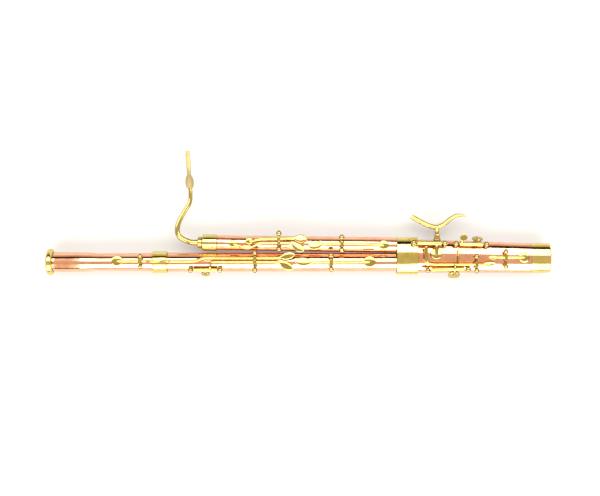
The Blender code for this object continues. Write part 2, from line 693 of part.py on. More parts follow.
def wing_keys(wing):
    z = 66.0
    y = wing_y(-52.0)
    r = wing_radius(-52.0)
    posts("wing_pivot_a", [(-52.0, -51.8, z), (-52.0, -93.2, z)],
          [tube_foot(-52.0, y, r, 48.0), tube_foot(-52.0, y, r, -33.0)], wing)
    w = WIRE_R
    path = [(-130.0, -72.5, 64.2, 2.2, 1.6), (-126.0, -72.5, 65.0, w, 2.6), (-112.0, -69.4, z, w, w),
            (-97.0, -66.4, z, w, w), (-84.0, -65.8, z, w, w), (-52.0, -65.6, z, w, w),
            (-26.0, -65.2, z, w, w), (-16.0, -65.0, z + 0.5, w, 2.6)]
    path += spatula((-10.0, -65.0, z + 1.0), (22.5, -66.8, z + 0.5), 10.6)
    key = lever("wing_key_1", path, (-52.0, -65.6, z), (0, 1, 0), wing, 5.0,
                [cup((-130.0, -72.5, 59.4), 9.8)])
    pad("wing_pad_1", (-130.0, -72.5, 59.4), 9.8, key)
    path = [(-173.2, -79.2, 64.2, 2.2, 1.6), (-169.0, -80.5, 65.0, w, 2.6), (-155.0, -85.6, z, w, w),
            (-138.0, -90.4, z, w, w), (-124.0, -88.4, z, w, w), (-111.0, -81.0, z, w, w),
            (-98.0, -77.3, z, w, w), (-52.0, -76.9, z, w, w), (-30.0, -77.2, z, w, w),
            (-20.0, -78.5, z + 0.5, w, 2.6)]
    path += spatula((-15.0, -80.5, z + 1.0), (14.0, -98.5, z + 0.5), 10.6)
    key = lever("wing_key_2", path, (-52.0, -76.9, z), (0, 1, 0), wing, 5.0,
                [cup((-173.2, -79.2, 59.4), 10.6)])
    pad("wing_pad_2", (-173.2, -79.2, 59.4), 10.6, key)

    y = wing_y(114.0)
    r = wing_radius(114.0)
    posts("wing_pivot_b", [(114.0, -62.4, z), (114.0, -95.6, z)],
          [tube_foot(114.0, y, r, 40.0), tube_foot(114.0, y, r, -38.0)], wing)
    path = spatula((60.0, -80.2, z + 0.6), (24.0, -84.8, z + 0.8), 12.0)[::-1]
    path += [(68.0, -79.8, z + 0.3, w, 3.0), (80.0, -79.6, z, w, w), (114.0, -79.7, z, w, w),
             (170.0, -80.2, z, w, w), (205.0, -81.6, z, w, w), (216.0, -82.6, 65.2, w, 2.8),
             (224.5, -83.0, 64.4, 2.2, 1.6)]
    key = lever("wing_key_3", path, (114.0, -79.7, z), (0, 1, 0), wing, 7.0,
                [cup((224.5, -83.0, 59.6), 13.2)])
    pad("wing_pad_3", (224.5, -83.0, 59.6), 13.2, key)


def bass_keys(bass, bell):
    z, w = 71.0, WIRE_R
    r = bass_radius(-115.0)
    posts("bass_pivot_a", [(-115.5, -103.2, z), (-115.5, -148.4, z)],
          [tube_foot(-115.5, BASS_Y, r, 41.0), tube_foot(-115.5, BASS_Y, r, -34.0)], bass)
    path = [(-376.0, -125.8, 68.2, 2.2, 1.5), (-370.0, -125.8, 68.4, 2.8, 1.8),
            (-350.0, -125.8, 69.6, w, 3.2), (-335.0, -125.8, z, w, w), (-290.0, -126.0, z, w, w),
            (-274.0, -125.2, z, w, w), (-262.0, -121.0, z, w, w), (-250.0, -117.8, z, w, w),
            (-236.0, -117.4, z, w, w), (-180.0, -117.4, z, w, w), (-115.5, -117.4, z, w, w),
            (-66.0, -117.2, z, w, w), (-54.0, -116.6, z, w, 3.0)]
    path += spatula((-47.0, -115.6, z + 0.4), (-10.0, -107.2, z + 0.8), 9.2)
    lever("low_b_flat_lever", path, (-115.5, -117.4, z), (0, 1, 0), bass, 4.6)
    path = [(-234.0, -139.5, 65.0, 1.9, 1.9), (-233.8, -135.0, 65.2, 2.4, 2.4),
            (-231.0, -129.5, 67.5, 3.2, 3.2), (-224.0, -127.4, z, w, w), (-200.0, -127.4, z, w, w),
            (-115.5, -127.4, z, w, w), (-66.0, -127.8, z, w, w), (-54.0, -128.8, z, w, 3.0)]
    path += spatula((-48.0, -130.0, z + 0.4), (-14.5, -146.5, z + 0.6), 10.2)
    lever("low_b_lever", path, (-115.5, -127.4, z), (0, 1, 0), bass, 4.6)

    r = bass_radius(85.7)
    posts("bass_pivot_b", [(85.7, -110.0, z), (85.7, -146.0, z)],
          [tube_foot(85.7, BASS_Y, r, 33.0), tube_foot(85.7, BASS_Y, r, -33.0)], bass)
    path = spatula((31.0, -127.2, z + 0.6), (-10.8, -125.2, z + 0.8), 11.2)[::-1]
    path += [(40.0, -127.6, z + 0.3, w, 3.0), (52.0, -128.0, z, w, w), (85.7, -128.2, z, w, w),
             (140.0, -128.0, z, w, w), (168.0, -127.6, z, w, w), (178.0, -127.4, 69.4, w, 3.0),
             (186.8, -127.4, 68.6, 2.2, 1.6)]
    key = lever("low_c_key", path, (85.7, -128.2, z), (0, 1, 0), bass, 8.0,
                [cup((186.8, -127.4, 63.5), 15.8)])
    pad("low_c_pad", (186.8, -127.4, 63.5), 15.8, key)

    axis_y, axis_z = on_tube(BASS_Y, 25.2, -37.6, 7.9)
    posts("low_b_pivot", [(-286.0, axis_y, axis_z), (-208.0, axis_y, axis_z)],
          [tube_foot(-286.0, BASS_Y, 25.3, -37.6, 5.0), tube_foot(-208.0, BASS_Y, 25.3, -37.6, 5.0)],
          bass, ball_r=6.8)
    top = [(-234.0, axis_y, axis_z, 3.0, 3.0), (-234.0, axis_y + 5.0, axis_z + 6.5, 2.6, 2.6),
           (-234.0, -137.0, 71.0, 2.2, 2.0), (-234.0, -133.5, 70.6, 1.6, 1.4)]
    flank_key("low_b_key", [(-278.0, axis_y, axis_z), (-216.0, axis_y, axis_z)], BASS_Y, 25.2,
              -75.0, -247.0, 12.0, -9.0, [top], [], bass, 1.6)

    z = 69.5
    posts("bell_pivot", [(-418.7, -112.0, z), (-418.7, -139.6, z)],
          [tube_foot(-418.7, BASS_Y, 24.2, 27.0), tube_foot(-418.7, BASS_Y, 24.2, -20.0)], bell,
          ball_r=5.6)
    path = [(-366.5, -125.8, 80.2, 2.0, 1.4), (-372.0, -125.8, 79.8, 2.8, 1.8),
            (-384.0, -125.8, 78.2, 3.5, 2.6), (-400.0, -125.7, 74.6, 3.6, 3.4),
            (-418.7, -125.5, z, 3.7, 3.7), (-440.0, -125.2, z, 3.7, 3.7),
            (-462.0, -125.2, z - 0.2, 3.7, 3.2), (-470.0, -125.2, z - 1.2, 3.6, 2.6),
            (-478.3, -125.2, z - 2.2, 2.0, 1.6)]
    key = lever("bell_key", path, (-418.7, -125.5, z), (0, 1, 0), bell, 6.5,
                [cup((-478.3, -125.2, 62.4), 14.6)])
    disc = pad("bell_pad", (-478.3, -125.2, 62.4), 14.6, key)
    turn([*operands(key), disc], (-418.7, -125.5, z), (0.0, 1.0, 0.0), 6.5)


def boot_foot(x, y, z):
    """Knee and foot of a leg from a ball at (x, y, z), square to the nearest point of the oval."""
    yc, half, height = (-111.6, 49.4, 27.2) if x < 317.0 else boot_section(x)
    ball_at = Vector((y, z))
    surface = []
    for degrees in range(1, 180):
        a = math.radians(degrees)
        across = math.copysign(abs(math.cos(a)) ** (2 / OVAL_POWER), math.cos(a))
        surface.append(Vector((yc + half * across,
                               AXIS_Z + height * math.sin(a) ** (2 / OVAL_POWER))))
    nearest = min(surface, key=lambda point: (point - ball_at).length)
    outward = (ball_at - nearest).normalized()
    return tuple((x, *(nearest + outward * gap)) for gap in (5.0, GAP + 0.2))


def boot_posts(name, ends, boot, ball_r=7.0):
    return posts(name, ends, [boot_foot(*end) for end in ends], boot, ball_r=ball_r)


def turn(objects, pivot, axis, degrees):
    """Turn meshes about a pivot, for keys that stand open at rest."""
    spin = Matrix.Rotation(math.radians(degrees), 4, Vector(axis))
    for obj in objects:
        shift = Matrix.Translation(Vector(pivot) * MM - obj.location)
        obj.data.transform(shift @ spin @ shift.inverted())


def operands(obj):
    return [obj] + [mod.object for mod in obj.modifiers if mod.type == "BOOLEAN"]


def rocker(name, ends, arms, extra, parent, tube_r=5.8):
    """A key on a long hinge tube with arms and cups; an arm's points give its height, then width."""
    a, b = Vector(ends[0]), Vector(ends[1])
    along = (b - a).normalized()
    key = new_object(name, sweep([(*a, tube_r, tube_r), (*b, tube_r, tube_r)], 12, 1), "brass",
                     (a + b) / 2, parent)
    join(key, [new_object("arm", sweep(arm, 8, 1, up=(1.0, 0.0, 0.0))) for arm in arms] + extra)
    return cut(key, [new_object("pivot_hole", cylinder(a - along * 5, b + along * 5,
                                                       BAR_R + GAP, 10))])


def flank_key(name, ends, lobe, radius, angle, x, cup_r, rest, arms, extra, parent, seat):
    """A rocker whose cup closes a hole in the flank; angle is the hole's, from the top to +Y."""
    a, b = Vector(ends[0]), Vector(ends[1])
    pivot = (a + b) / 2
    outward = (0.0, math.sin(math.radians(angle)), math.cos(math.radians(angle)))
    rim = (x, *on_tube(lobe, radius, angle, seat + 1.1))
    back = (x, *on_tube(lobe, radius, angle, seat + 6.7))
    sign = 1.0 if angle > 0 else -1.0
    up_y, up_z = -sign * outward[2], sign * outward[1]
    low = (x, back[1] - 5.0 * up_y, back[2] - 5.0 * up_z)
    high = (x, back[1] + 8.0 * up_y + sign, back[2] + 8.0 * up_z)
    neck = (x, pivot.y + sign * 11.0, pivot.z + 0.5)
    back_arm = [(x, pivot.y, pivot.z, 3.0, 3.0), (*neck, 3.0, 3.0), (*high, 3.0, 2.8),
                (*back, 2.8, 2.4), (*low, 1.5, 1.3)]
    swung = [new_object("arm", sweep(back_arm, 8, 1, up=(1.0, 0.0, 0.0))),
             cup(rim, cup_r, outward)]
    key = rocker(name, ends, arms, [*swung, *extra], parent)
    disc = pad(name.replace("_key", "_pad"), rim, cup_r, key, outward)
    turn([*swung, disc], pivot, b - a, rest)


def pancake_key(boot):
    z, y = 69.0, -77.3
    boot_posts("pancake_pivot", [(304.2, y + 0.8, z), (386.0, y - 1.8, z)], boot)
    arm = [(364.0, -78.0, z, 4.0, 4.0), (364.0, -88.0, z + 0.6, 3.4, 4.0),
           (364.0, -98.0, 68.6, 2.4, 4.6), (364.0, -109.0, 67.9, 1.7, 3.4)]
    axis = Vector((81.8, -2.6, 0.0)).normalized()
    centre = Vector((345.0, y - 0.5, z))
    ends = [centre - axis * 31.5, centre + axis * 31.5]
    key = rocker("pancake_key", ends, [arm], [cup((364.0, -105.0, 62.8), 15.0)], boot, 6.0)
    disc = pad("pancake_pad", (364.0, -105.0, 62.8), 15.0, key)
    turn([*operands(key), disc], centre, axis, -8.0)


def thumb_keys(boot):
    """The cross lever with its side key, and the short lever by the cap."""
    w, z = WIRE_R, 70.0
    boot_posts("cross_lever_pivot", [(469.2, -112.8, z), (470.4, -150.4, z - 3.0)], boot)
    path = [(337.0, -86.5, z, 4.2, 3.0), (337.0, -100.0, z, 4.8, 3.4), (337.2, -122.0, z, 4.8, 3.6),
            (343.0, -130.8, z, w, w), (358.0, -133.4, z, w, w), (380.0, -133.7, z, w, w),
            (470.0, -133.7, z - 1.6, w, w), (482.0, -133.5, z - 1.2, w, w)]
    path += spatula((488.0, -133.2, z - 0.8), (521.0, -130.6, z - 0.4), 6.4)
    bar = [(422.0, -134.0, z - 0.6, 2.2, 2.2), (422.0, -92.0, z - 0.6, 2.2, 2.2)]
    along = (1.2, -37.6, -3.0)
    lever("cross_lever", path, (470.0, -133.7, z - 1.65), along, boot, 7.0,
          [new_object("bar", sweep(bar, 8, 1))])

    ends = [(341.4, -148.6, 64.6), (448.3, -145.6, 64.2)]
    boot_posts("side_e_pivot", ends, boot)
    a, b = Vector(ends[0]), Vector(ends[1])
    tube = [a + (b - a) * 0.1, a + (b - a) * 0.9]
    lobe = boot_section(412.0)
    arm = [(412.5, -146.6, 64.3, 3.0, 3.0), (412.5, -143.5, 71.5, 2.6, 2.6),
           (412.5, -138.5, 76.0, 2.2, 2.2), (412.5, -132.5, 75.6, 1.7, 1.7)]
    flank_key("side_e_key", tube, lobe[0] - lobe[1] + lobe[2], lobe[2], -70.0, 412.0, 16.0, -11.0,
              [arm], [], boot, 2.15)

    ends = [(416.4, -79.8, 64.8), (496.4, -81.7, 64.4)]
    boot_posts("thumb_b_flat_pivot", ends, boot)
    a, b = Vector(ends[0]), Vector(ends[1])
    tube = [a + (b - a) * 0.12, a + (b - a) * 0.88]
    lobe = boot_section(475.0)
    stem = [(430.5, -80.2, 64.8, 3.0, 3.0), (432.0, -73.0, 70.0, 2.6, 2.6),
            (434.9, -64.0, 73.0, 2.4, 1.8)]
    disc = new_object("touch", cylinder((434.9, -62.7, 72.4), (434.9, -62.7, 75.4), 9.8, 20))
    flank_key("thumb_b_flat_key", tube, lobe[0] + lobe[1] - lobe[2], lobe[2], 78.0, 475.0, 14.5,
              8.5, [stem], [disc], boot, 2.0)

    boot_posts("f_sharp_pivot", [(547.0, -100.5, z), (547.0, -140.0, z - 3.0)], boot)
    path = spatula((524.0, -115.2, z - 0.6), (500.5, -114.6, z - 0.2), 5.6)[::-1]
    path += [(532.0, -115.4, z - 0.8, w, 3.2), (547.0, -115.6, z - 1.15, 4.4, 4.4),
             (566.0, -115.4, z - 1.0, 4.2, 4.2), (580.0, -115.3, z - 1.4, w, 3.4),
             (588.0, -115.2, z - 1.8, w, 2.6), (595.9, -115.2, z - 2.2, 2.0, 1.6)]
    key = lever("f_sharp_key", path, (547.0, -115.6, z - 1.15), (0.0, -39.5, -3.0), boot, 8.0,
                [cup((595.9, -115.2, 62.6), 14.2)])
    pad("f_sharp_pad", (595.9, -115.2, 62.6), 14.2, key)


def hand_rest(boot):
    z = AXIS_Z
    seat = new_object("hand_rest_socket", cylinder((368.6, -69.1, z), (368.6, -66.4, z), 10.5, 20),
                      "brass", (368.6, -69.1, z), boot)
    join(seat, [new_object("boss", cylinder((368.6, -67.5, z), (368.6, -55.5, z), 7.6, 20))])
    cut(seat, [drill((368.6, -66.9, z), (368.6, -50.0, z), 3.8),
               drill((368.6, -59.6, z), (368.6, -59.6, z + 12.0), 2.1, 12)])
    path = [(300.6, -6.1, 6.2), (325.1, -20.5, 6.3), (348.8, -31.3, 6.4), (368.6, -35.0, 6.3),
            (388.0, -26.6, 6.2), (405.1, -12.8, 5.8), (420.3, -4.1, 5.0), (434.0, -2.9, 3.8),
            (447.5, -7.2, 1.6)]
    rest = new_object("hand_rest", sweep([(x, y, z, r, r) for x, y, r in path], 10, 2), "brass",
                      (368.6, -60.0, z), boot)
    stem = [(368.6, -38.0, z, 4.6, 4.6), (368.6, -46.0, z, 6.2, 6.2), (368.6, -54.9, z, 5.8, 5.8),
            (368.6, -55.1, z, 3.5, 3.5), (368.6, -66.4, z, 3.5, 3.5)]
    join(rest, [new_object("stem", sweep(stem, 14, 1))])
    knob = [(0.0, 0.0), (0.0, 1.8), (4.6, 1.8), (4.7, 5.6), (6.0, 6.4), (8.6, 6.4), (9.8, 5.4),
            (10.0, 0.0)]
    new_object("hand_rest_screw", revolve(knob, (368.6, -59.6, z + 3.8), (368.6, -59.6, z + 60.0),
                                          16), "brass", (368.6, -59.6, z + 8.0), boot)


def resting_posts(wing, boot):
    """Posts on the finger side, below, that the instrument lies on."""
    y = wing_y(-85.0)
    ends = [(-110.0, y, 5.6), (-60.0, y, 5.6)]
    feet = [((x, y, 10.0), (x, y, AXIS_Z - wing_radius(x) - GAP - 0.2)) for x, _, _ in ends]
    posts("wing_under_posts", ends, feet, wing, ball_r=5.6)
    ends = [(505.0, -96.5, 5.6), (505.0, -133.5, 5.6)]
    feet = [((x, yy, 9.0), (x, yy, AXIS_Z - oval_rise(x, yy) - 1.2)) for x, yy, _ in ends]
    posts("boot_under_posts", ends, feet, boot, ball_r=5.6)


def main():
    boot = make_boot()
    make_boot_ferrule(boot)
    make_boot_cap(boot)
    make_u_tube(boot)
    make_gasket(boot)
    bass = make_bass(boot)
    bell = make_bell(bass)
    make_rings(bell)
    wing = make_wing(boot)
    make_wing_head(wing)
    make_wraps(bass, wing)
    bocal = make_bocal(wing)
    make_reed(bocal)
    wing_keys(wing)
    bass_keys(bass, bell)
    pancake_key(boot)
    thumb_keys(boot)
    hand_rest(boot)
    resting_posts(wing, boot)


main()
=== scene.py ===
"""Looks of the bassoon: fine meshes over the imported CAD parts, polished metal, soft studio light.

Shapes are built in millimetres in the CAD frame (X along the instrument, bell at -X, Z up), then
settled on the box of the CAD node that each one stands for.
"""

import math

import bmesh
import bpy
from mathutils import Matrix, Vector
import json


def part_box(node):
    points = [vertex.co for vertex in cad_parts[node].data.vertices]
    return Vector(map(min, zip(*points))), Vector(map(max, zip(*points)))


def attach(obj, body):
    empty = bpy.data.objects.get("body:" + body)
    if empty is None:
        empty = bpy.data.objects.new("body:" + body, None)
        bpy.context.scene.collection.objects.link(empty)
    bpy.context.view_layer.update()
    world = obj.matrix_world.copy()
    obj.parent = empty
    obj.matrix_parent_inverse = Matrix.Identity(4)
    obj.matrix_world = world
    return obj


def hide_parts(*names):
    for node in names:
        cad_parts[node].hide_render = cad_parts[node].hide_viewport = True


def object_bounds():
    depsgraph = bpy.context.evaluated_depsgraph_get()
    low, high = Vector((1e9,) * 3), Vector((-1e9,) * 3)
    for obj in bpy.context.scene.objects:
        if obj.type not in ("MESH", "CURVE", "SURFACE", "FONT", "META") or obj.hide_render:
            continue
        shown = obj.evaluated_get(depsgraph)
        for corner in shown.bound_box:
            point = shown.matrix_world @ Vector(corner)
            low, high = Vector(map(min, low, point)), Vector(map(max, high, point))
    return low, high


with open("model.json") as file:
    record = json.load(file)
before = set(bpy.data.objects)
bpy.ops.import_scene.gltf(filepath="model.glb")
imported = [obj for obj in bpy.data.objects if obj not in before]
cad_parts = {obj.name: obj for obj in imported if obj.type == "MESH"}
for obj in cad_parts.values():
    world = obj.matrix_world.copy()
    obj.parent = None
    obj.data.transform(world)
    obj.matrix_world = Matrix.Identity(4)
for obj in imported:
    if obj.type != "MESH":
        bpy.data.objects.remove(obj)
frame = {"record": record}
CAD_LOW, CAD_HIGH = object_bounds()

MM = 0.001
UP = Vector((0.0, 0.0, 1.0))
BODY_OF = {
    node: body
    for body, nodes in frame["record"]["behaviour"]["bodies"].items()
    for node in nodes
}


def corners(node):
    """Lowest and highest corner of a CAD node, in millimetres."""
    low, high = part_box(node)
    return low / MM, high / MM


def middle(node):
    low, high = corners(node)
    return (low + high) / 2


# --- where things are ---
AXIS_Z = middle("bell_ring").z
BASS_Y = middle("bell_ring").y
RING_X0 = corners("bell_ring")[0].x
FERRULE_X0, FERRULE_X1 = (corner.x for corner in corners("bell_ferrule"))
BASS_X0, BASS_X1 = FERRULE_X1 + 0.2, corners("boot_ferrule")[0].x - 0.5
WING_X0 = corners("wing_ferrule")[1].x + 0.3
BOOT_X0 = corners("boot_body")[0].x
CAP_X1 = corners("boot_cap")[1].x
WING_HEAD = Vector((WING_X0, middle("wing_ferrule").y - 0.25, AXIS_Z))
WING_FOOT = Vector((BASS_X1, WING_HEAD.y - 6.4, AXIS_Z))
BAR_R = 2.7
WIRE_R = 3.9
BALL_R = 7.2
WALL = 1.6
OVAL_POWER = 2.1
FINGER_HOLES_X = (-20.0, 40.0, 100.0)
KNURLS, KNURL_DEPTH, KNURL_FROM = 24, 0.22, 5.9


def wing_y(x):
    share = (x - WING_HEAD.x) / (WING_FOOT.x - WING_HEAD.x)
    return WING_HEAD.y + (WING_FOOT.y - WING_HEAD.y) * share


def boot_section(x):
    """Centre, half width and half height of the boot at x."""
    t = (x - 318.0) / 300.0
    return -112.0 - 5.2 * t, 44.2 - 4.6 * t, 24.2 - 0.4 * t


def on_tube(y, radius, angle, height):
    """The (y, z) at this height above a tube, angle degrees from the top towards +Y."""
    a = math.radians(angle)
    return y + (radius + height) * math.sin(a), AXIS_Z + (radius + height) * math.cos(a)


# --- mesh building ---
def frame_of(direction, up):
    """Two unit vectors square to the direction: the first sideways, the second nearest to up."""
    side = direction.cross(up)
    if side.length < 1e-6:
        side = direction.cross(Vector((1.0, 0.0, 0.0)))
    side.normalize()
    return side, side.cross(direction).normalized()


def skin(bm, rings, closed=False, caps=True):
    """Join consecutive rings of vertices with quads; a ring of one vertex is a pole."""
    pairs = list(zip(rings, rings[1:]))
    if closed:
        pairs.append((rings[-1], rings[0]))
    for a, b in pairs:
        n = max(len(a), len(b))
        for i in range(n):
            j = (i + 1) % n
            if len(a) == 1:
                bm.faces.new((a[0], b[i], b[j]))
            elif len(b) == 1:
                bm.faces.new((a[i], b[0], a[j]))
            else:
                bm.faces.new((a[i], b[i], b[j], a[j]))
    if caps and not closed:
        for ring in (rings[0], rings[-1]):
            if len(ring) > 2:
                bm.faces.new(ring)
    bmesh.ops.recalc_face_normals(bm, faces=bm.faces)
    return bm


def blend_points(a, b, t):
    return tuple(p + (q - p) * t for p, q in zip(a, b))


def span(a, b):
    return math.sqrt(sum((p - q) ** 2 for p, q in zip(a, b)))


def rounded(points, radius, steps=3, closed=False):
    """The same run of points with every corner rounded off."""
    out = []
    last = len(points) - 1
    for i, here in enumerate(points):
        if not closed and i in (0, last):
            out.append(tuple(here))
            continue
        before, after = points[i - 1], points[(i + 1) % len(points)]
        one, two = span(here, before), span(here, after)
        start = blend_points(here, before, min(radius, one * 0.45) / one)
        end = blend_points(here, after, min(radius, two * 0.45) / two)
        for k in range(steps + 1):
            t = k / steps
            out.append(blend_points(blend_points(start, here, t), blend_points(here, end, t), t))
    return out


def revolve(profile, start, end, seg=72, closed=False):
    """Turn (distance, radius) pairs about the line from start towards end."""
    start, end = Vector(start), Vector(end)
    along = (end - start).normalized()
    side, up = frame_of(along, UP)
    bm = bmesh.new()
    rings = []
    for distance, radius in profile:
        centre = start + along * distance
        if radius < 1e-6:
            rings.append([bm.verts.new(centre)])
            continue
        ring = []
        for i in range(seg):
            a = 2 * math.pi * i / seg
            ring.append(bm.verts.new(centre + (side * math.cos(a) + up * math.sin(a)) * radius))
        rings.append(ring)
    return skin(bm, rings, closed)


def catmull(points, steps):
    """Points with any number of components, smoothed through every given point."""
    out = []
    last = len(points) - 1
    for i in range(last):
        p0, p1, p2, p3 = (points[max(0, min(last, i + k))] for k in (-1, 0, 1, 2))
        for s in range(steps):
            t = s / steps
            out.append(tuple(
                0.5 * (2 * b + (c - a) * t + (2 * a - 5 * b + 4 * c - d) * t * t
                       + (3 * b - a - 3 * c + d) * t ** 3)
                for a, b, c, d in zip(p0, p1, p2, p3)
            ))
    out.append(tuple(points[last]))
    return out


def sweep(path, seg=24, steps=6, up=UP, bore=None, dome=0.0):
    """A bar along (x, y, z, half width, half height) points. dome rounds off both ends."""
    points = catmull(path, steps) if steps > 1 else list(path)
    bm = bmesh.new()
    outer, inner = [], []
    last = len(points) - 1
    for i, point in enumerate(points):
        here = Vector(point[:3])
        before = Vector(points[max(0, i - 1)][:3])
        after = Vector(points[min(last, i + 1)][:3])
        along = (after - before).normalized()
        side, rise = frame_of(along, Vector(up))
        turns = [(math.cos(2 * math.pi * k / seg), math.sin(2 * math.pi * k / seg))
                 for k in range(seg)]
        wide, tall = max(point[3], 0.15), max(point[4], 0.15)
        ring = [bm.verts.new(here + side * c * wide + rise * s * tall) for c, s in turns]
        if i in (0, last) and dome:
            outward = along * (-1.0 if i == 0 else 1.0)
            caps = []
            for k in (1, 2, 3):
                a = math.pi / 8 * k
                caps.append([
                    bm.verts.new(here + outward * dome * math.sin(a)
                                 + (side * c * wide + rise * s * tall) * math.cos(a))
                    for c, s in turns
                ])
            caps.append([bm.verts.new(here + outward * dome)])
            outer += caps[::-1] + [ring] if i == 0 else [ring] + caps
        else:
            outer.append(ring)
        if bore is not None:
            hole = bore[0] + (bore[1] - bore[0]) * i / last
            inner.append([bm.verts.new(here + side * c * hole + rise * s * hole)
                          for c, s in turns])
    return skin(bm, outer + inner[::-1], closed=bore is not None)


def fuller(c):
    """A cosine or sine raised to the oval's power, with its sign kept."""
    return math.copysign(abs(c) ** (2 / OVAL_POWER), c)


def oval_ring(bm, x, yc, half, height, seg=80):
    """One section across the boot: an oval a little fuller than an ellipse."""
    ring = []
    for i in range(seg):
        a = 2 * math.pi * (i + 0.5) / seg
        ring.append(bm.verts.new((x, yc + half * fuller(math.cos(a)),
                                  AXIS_Z + height * fuller(math.sin(a)))))
    return ring


def oval(stations, closed=False):
    bm = bmesh.new()
    return skin(bm, [oval_ring(bm, *station) for station in stations], closed)


def stadium(stations, seg=24):
    """A plate with two half-round ends, as (x, centre, half width, radius) sections."""
    bm = bmesh.new()
    rings = []
    for x, yc, half, radius in stations:
        ring = []
        for sign in (1.0, -1.0):
            for i in range(seg + 1):
                a = -sign * math.pi / 2 + math.pi * i / seg
                ring.append(bm.verts.new((x, yc + sign * (half - radius) + radius * math.cos(a),
                                          AXIS_Z + radius * math.sin(a))))
        rings.append(ring)
    return skin(bm, rings)


def cylinder(start, end, radius, seg=40, edge=0.0):
    length = (Vector(end) - Vector(start)).length
    profile = [(0.0, 0.0), (0.0, radius), (length, radius), (length, 0.0)]
    if edge:
        profile = rounded(profile, edge)
    return revolve(profile, start, end, seg)


def ball(centre, radius=BALL_R):
    bm = bmesh.new()
    bmesh.ops.create_uvsphere(bm, u_segments=32, v_segments=16, radius=radius)
    bmesh.ops.translate(bm, verts=bm.verts, vec=centre)
    return bm


def slot_cutter(centre, outward, width=0.8, length=8.0, depth=1.0):
    """The screwdriver slot across a screw's end."""
    bm = bmesh.new()
    bmesh.ops.create_cube(bm, size=1.0)
    bmesh.ops.scale(bm, verts=bm.verts, vec=(width, length, depth * 2))
    turn_up = Vector(outward).to_track_quat("Z", "Y").to_matrix().to_4x4()
    bmesh.ops.transform(bm, verts=bm.verts, matrix=Matrix.Translation(centre) @ turn_up)
    return bm


def turned(meshes, pivot, axis, degrees):
    """Meshes swung about a pivot, for keys that stand open at rest."""
    spin = Matrix.Rotation(math.radians(degrees), 4, Vector(axis))
    here = Matrix.Translation(Vector(pivot))
    for bm in meshes:
        bmesh.ops.transform(bm, verts=bm.verts, matrix=here @ spin @ here.inverted())
    return meshes


def placed(name, data):
    """A new object in the scene that shows this mesh, light or camera."""
    obj = bpy.data.objects.new(name, data)
    bpy.context.scene.collection.objects.link(obj)
    return obj


def placed_mesh(name, bm):
    mesh = bpy.data.meshes.new(name)
    bm.to_mesh(mesh)
    bm.free()
    return placed(name, mesh)


def fused(base, add=(), remove=()):
    """One closed mesh: the base joined with some meshes and cut by others."""
    whole = placed_mesh("whole", base)
    used = [whole]
    for operation, group in (("UNION", add), ("DIFFERENCE", remove)):
        for bm in group:
            modifier = whole.modifiers.new(operation, "BOOLEAN")
            modifier.operation = operation
            modifier.solver = "EXACT"
            modifier.object = placed_mesh("operand", bm)
            used.append(modifier.object)
    graph = bpy.context.evaluated_depsgraph_get()
    mesh = bpy.data.meshes.new_from_object(whole.evaluated_get(graph))
    result = bmesh.new()
    result.from_mesh(mesh)
    bmesh.ops.dissolve_degenerate(result, dist=1e-4, edges=result.edges)
    for obj in used:
        data = obj.data
        bpy.data.objects.remove(obj)
        bpy.data.meshes.remove(data)
    bpy.data.meshes.remove(mesh)
    return result


def piece(node, bm, finish, edge=0.0, sharp=40.0):
    """Turn a bmesh in millimetres into the piece that stands for a CAD node."""
    low = Vector(min(v.co[i] for v in bm.verts) for i in range(3))
    high = Vector(max(v.co[i] for v in bm.verts) for i in range(3))
    shift = middle(node) - (low + high) / 2
    bmesh.ops.translate(bm, verts=bm.verts, vec=shift)
    bmesh.ops.scale(bm, verts=bm.verts, vec=(MM, MM, MM))
    obj = placed_mesh(node + "_fine", bm)
    obj.data.shade_smooth()
    obj.data.set_sharp_from_angle(angle=math.radians(sharp))
    obj.data.materials.append(MATERIALS[finish])
    if edge:
        modifier = obj.modifiers.new("soldered_edge", "BEVEL")
        modifier.width = edge * MM
        modifier.segments = 2
        modifier.limit_method = "ANGLE"
        modifier.angle_limit = math.radians(sharp)
    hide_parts(node)
    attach(obj, BODY_OF[node])
    return obj


